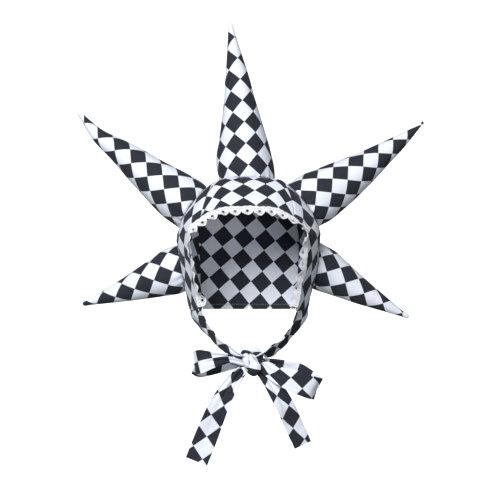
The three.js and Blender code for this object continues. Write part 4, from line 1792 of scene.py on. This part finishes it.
    def build_knot(self) -> None:
        """Build the knot: its core, the strand down its front, the strand over it and the petal."""
        front = self.strand(
            (
                (-0.08, 0.3, 0.3, 0.12, -35),
                (0.03, 0.5, 0.16, 0.19, -32),
                (0.13, 0.6, 0, 0.32, -24),
                (0.17, 0.6, -0.17, 0.5, -6),
                (0.13, 0.56, -0.31, 0.5, 0),
                (0.1, 0.38, -0.42, 0.48, 0),
                (0.09, 0.1, -0.45, 0.44, 0),
            ),
            2.6 * MM,
        )
        over = self.strand(
            (
                (-0.44, 0.1, 0.1, 0.2, 172),
                (-0.4, 0.34, 0.27, 0.26, 144),
                (-0.16, 0.46, 0.41, 0.3, 104),
                (0.14, 0.46, 0.42, 0.3, 78),
                (0.38, 0.4, 0.28, 0.28, 38),
                (0.45, 0.3, 0.06, 0.24, 8),
                (0.4, 0.1, -0.12, 0.2, -8),
            ),
            3.0 * MM,
        )
        strands = (
            Lay("bow_knot_front", "", front, self.front_print, 41.0, "folded", 60, 0, 0, self.strand_width),
            Lay("bow_knot_over", "", over, self.over_print, 42.0, "folded", 80, 0, 0, self.strand_width),
        )
        core = self.build_core()
        dress(core, self.cloth, ["bow_knot"])
        petal = self.build_petal()
        dress(petal, self.cloth)
        for lay in strands:
            piece = self.strip(lay)
            dress(piece, self.cloth)
            self.declare(lay)

    def lays(self) -> list[Lay]:
        """Return how each tie is laid.

        Returns:
            The lays of the straps, the loops and the tails.
        """
        left, right = Side.LEFT, Side.RIGHT
        left_rows = (
            (0, -0.12, 0.42, 0),
            (0.3, -0.34, 0.42, 0.15),
            (0.6, -0.5, 0.68, 0.12),
            (0.85, -0.44, 1, 0.05),
            (1, 0, 1, -0.04),
            (0.88, 0.4, 1, -0.18),
            (0.6, 0.5, 0.9, -0.12),
            (0.3, 0.34, 0.6, -0.1),
            (0, 0.12, 0.42, 0),
        )
        right_rows = (
            (0, -0.12, 0.42, 0),
            (0.3, -0.34, 0.69, -0.14),
            (0.6, -0.5, 0.96, -0.09),
            (0.88, -0.4, 1, -0.04),
            (1, 0, 1, 0),
            (0.88, 0.4, 1, 0.07),
            (0.6, 0.5, 1, 0.18),
            (0.3, 0.34, 0.6, 0.16),
            (0, 0.12, 0.3, 0),
        )
        left_loop = self.loop_stations(left, self.left_loop, self.left_droop, left_rows)
        right_loop = self.loop_stations(right, self.right_loop, self.right_droop, right_rows)
        fold = len(left_rows) // 2
        left_tail = self.tail_stations(left, self.left_tail, self.left_lean, self.left_twist)
        right_tail = self.tail_stations(right, self.right_tail, self.right_lean, self.right_twist)
        left_strap = self.strap_stations(left)
        right_strap = self.strap_stations(right)
        return [
            Lay(
                "strap_left_cloth", "strap_left", left_strap, Print(52.5, 1.03, 0.92, 1.1), 31.0,
                "stretched", eased_start=self.strap_ease, pleat=self.strap_pleat,
            ),
            Lay(
                "strap_right_cloth", "strap_right", right_strap, Print(39, 0.11, 0.06, 1.055), 32.0,
                "stretched", eased_start=self.strap_ease, pleat=self.strap_pleat,
            ),
            Lay(
                "loop_left_front", "loop_left", left_loop[: fold + 1], Print(-8, 0.55, 0.97, 1.01), 33.0,
                "folded",
            ),
            Lay("loop_left_back", "", left_loop[fold:], Print(-8, 0.54, 0.97, 1.00), 33.5, "folded"),
            Lay(
                "loop_right_front", "loop_right", right_loop[: fold + 1], Print(66, 0.11, 1.90, 1.03), 34.0,
                "folded",
            ),
            Lay("loop_right_back", "", right_loop[fold:], Print(-7, 0.69, 0.00, 1.11), 34.5, "folded"),
            Lay("tail_left_cloth", "tail_left", left_tail, Print(56, 0.93, 0.32, 0.99), 35.0, "hung"),
            Lay("tail_right_cloth", "tail_right", right_tail, Print(27, 1.05, 0.36, 0.98), 36.0, "hung"),
        ]

    def declare(self, lay: Lay) -> None:
        """Work out a tie's flat area as a sheet; nothing uses the area further.

        Args:
            lay: how it is laid.
        """
        pairs = list(zip(lay.stations, lay.stations[1:]))
        length = sum((after.centre - before.centre).length for before, after in pairs)
        width = max(self.least_flat, *(station.width for station in lay.stations))
        spans = [
            (after.centre - before.centre).length * (after.width + before.width + 2 * after.crown) / 2
            for before, after in pairs
        ]
        area = min(sum(spans) * 1.1, width * length)

    def build(self) -> None:
        """Build and dress the straps, the knot, the loops and the tails."""
        for lay in self.lays():
            piece = self.strip(lay)
            dress(piece, self.cloth, [lay.node] if lay.node else [])
            self.declare(lay)
        self.build_knot()


# Stitching


@dataclass
class Stitching:
    """Runs of machine stitches sunk a little in the cloth."""

    form: BonnetForm
    thread: bpy.types.Material
    stitch: float = 2.3 * MM
    gap: float = 0.7 * MM
    thickness: float = 0.5 * MM
    sides: int = 5

    def run(self, name: str, line: Sequence[Vector], outs: Sequence[Vector]) -> None:
        """Sew one run along a line.

        Args:
            name: the run's name.
            line: close points along it.
            outs: the way out of the cloth at each point.
        """
        lengths = [0.0]
        for before, after in zip(line, line[1:]):
            lengths.append(lengths[-1] + (after - before).length)
        points: list[Vector] = []
        faces: list[list[int]] = []
        start = 0.0
        profile = ((0, 0.35, -0.35), (0.2, 1, 0.15), (0.8, 1, 0.15), (1, 0.35, -0.35))
        while start + self.stitch < lengths[-1]:
            first = len(points)
            for share, size, lift in profile:
                place, out, tangent = self.read(line, outs, lengths, start + share * self.stitch)
                across = tangent.cross(out).normalized()
                for side in range(self.sides):
                    turn = 2 * math.pi * side / self.sides
                    round_part = across * math.cos(turn) + out * math.sin(turn)
                    lifted = place + out * lift * self.thickness
                    points.append(lifted + round_part * self.thickness / 2 * size)
            for ring in range(len(profile) - 1):
                for side in range(self.sides):
                    after = (side + 1) % self.sides
                    low = first + ring * self.sides
                    high = low + self.sides
                    faces.append([low + side, low + after, high + after, high + side])
            last = first + (len(profile) - 1) * self.sides
            faces.append([first + side for side in range(self.sides)][::-1])
            faces.append([last + side for side in range(self.sides)])
            start += self.stitch + self.gap
        piece = make_object(name, np.array(points), faces, None)
        dress(piece, self.thread)

    def read(
        self, line: Sequence, outs: Sequence, lengths: list, at: float
    ) -> tuple[Vector, Vector, Vector]:
        """Return the place, the way out and the way along at a length of a line.

        Args:
            line: the line's points.
            outs: the way out of the cloth at each.
            lengths: the length so far at each.
            at: the length to read.

        Returns:
            The place, the way out and the way along.
        """
        index = min(max(int(np.searchsorted(lengths, at)), 1), len(line) - 1)
        span = max(lengths[index] - lengths[index - 1], 1e-9)
        share = (at - lengths[index - 1]) / span
        place = line[index - 1].lerp(line[index], share)
        out = outs[index - 1].lerp(outs[index], share).normalized()
        return place, out, (line[index] - line[index - 1]).normalized()

    def around(self, name: str, place: float, first: float, last: float, lift: float) -> None:
        """Sew a run round the bonnet at one place.

        Args:
            name: the run's name.
            place: from 0 at the face to 2 at the back.
            first: the angle where it starts.
            last: the angle where it ends.
            lift: how far it stands over the cloth.
        """
        angles = np.linspace(first, last, 361)
        line = [self.form.point(float(angle), place, self.form.cloth / 2 + lift) for angle in angles]
        outs = [self.form.out(float(angle), place) for angle in angles]
        self.run(name, line, outs)

    def build(self) -> None:
        """Sew the runs beside the lace, beside the seam and along the hem."""
        self.around("stitches_face", 0.07, -176, 176, 0)
        self.around("stitches_seam", 0.955, -176, 176, 0)
        self.around("stitches_crown", 1.03, -176, 176, 0)
        inset = 6 * MM
        depth = self.form.back.y + self.form.fit_gap
        half = self.form.back.hem_half - 2 * MM
        height = self.form.hem + inset - self.form.back_sag * 0.8
        line = [Vector((float(x), depth, height)) for x in np.linspace(-half, half, 60)]
        self.run("stitches_back_hem", line, [Vector((0, -1, 0))] * 60)


# Studio


@dataclass(frozen=True)
class Lamp:
    """A soft round lamp: where it hangs, how wide it is, and its power in watts."""

    name: str
    place: tuple
    size: float
    energy: float


@dataclass
class Studio:
    """The camera, the light and the paper that the bonnet hangs before."""

    distance: float = 2.1
    reach: float = 0.65
    centre: tuple = (1.3 * MM, -34 * MM, -91 * MM)
    backdrop: float = 2.4
    paper_half: float = 0.95
    paper_bow: float = 0.12
    air_colour: tuple = (0.88, 0.93, 1, 1)
    air_strength: float = 0.17
    clip_end: float = 50
    aim: tuple = (0, 0, -0.06)
    lamps: tuple = (
        Lamp("key", (-0.75, -2.15, 1.05), 1.2, 70),
        Lamp("fill", (0.5, -2.35, -0.45), 1.4, 12),
    )

    def build(self) -> None:
        """Build the studio."""
        self.camera()
        self.paper()
        self.lights()

    def camera(self) -> None:
        """Place a level camera in front of the face opening."""
        data = bpy.data.cameras.new("camera")
        data.sensor_width = 36
        data.lens = data.sensor_width * self.distance / self.reach
        data.clip_end = self.clip_end
        camera = bpy.data.objects.new("camera", data)
        x, y, z = self.centre
        camera.location = (x, y - self.distance, z)
        camera.rotation_euler = (math.pi / 2, 0, 0)
        bpy.context.scene.collection.objects.link(camera)
        bpy.context.scene.camera = camera

    def paper(self) -> None:
        """Hang the white paper behind, gently bowed and just wider than the view."""
        columns, rows = 24, 12
        x, y, z = self.centre
        points = []
        for row in range(rows + 1):
            for column in range(columns + 1):
                across = (column / columns - 0.5) * 2
                up = (row / rows - 0.5) * 2
                depth = self.backdrop + self.paper_bow * (1 - across * across)
                points.append((x + across * self.paper_half, y + depth, z + up * self.paper_half))
        faces = net_faces(rows + 1, columns + 1, 0, False)
        paper = make_object("studio_paper", np.array(points), faces, None)
        paper.data.materials.append(StudioPaper().material())

    def hang(self, lamp: Lamp) -> None:
        """Hang one lamp, aimed at the bonnet.

        Args:
            lamp: the lamp.
        """
        data = bpy.data.lights.new(lamp.name, "AREA")
        data.shape = "DISK"
        data.size = lamp.size
        data.energy = lamp.energy
        hung = bpy.data.objects.new(lamp.name, data)
        hung.location = lamp.place
        toward = Vector(self.aim) - Vector(lamp.place)
        hung.rotation_euler = toward.to_track_quat("-Z", "Y").to_euler()
        bpy.context.scene.collection.objects.link(hung)

    def lights(self) -> None:
        """Set the soft white light."""
        world = bpy.data.worlds.new("studio air")
        world.use_nodes = True
        background = world.node_tree.nodes["Background"]
        background.inputs["Color"].default_value = self.air_colour
        background.inputs["Strength"].default_value = self.air_strength
        bpy.context.scene.world = world
        for lamp in self.lamps:
            self.hang(lamp)
        bpy.context.scene.view_settings.view_transform = "Standard"


def main() -> None:
    """Build the studio and the bonnet, piece by piece."""
    logging.basicConfig(level=logging.INFO, format="%(name)s: %(message)s")
    Studio().build()
    cloth = CheckedCloth().material()
    form = BonnetForm()
    Bonnet(form, cloth).build()
    Spikes(form, cloth).build()
    FaceLace(form, LaceCotton().material()).build()
    Ties(form, cloth).build()
    Stitching(form, Thread().material()).build()


if __name__ == "__main__":
    main()
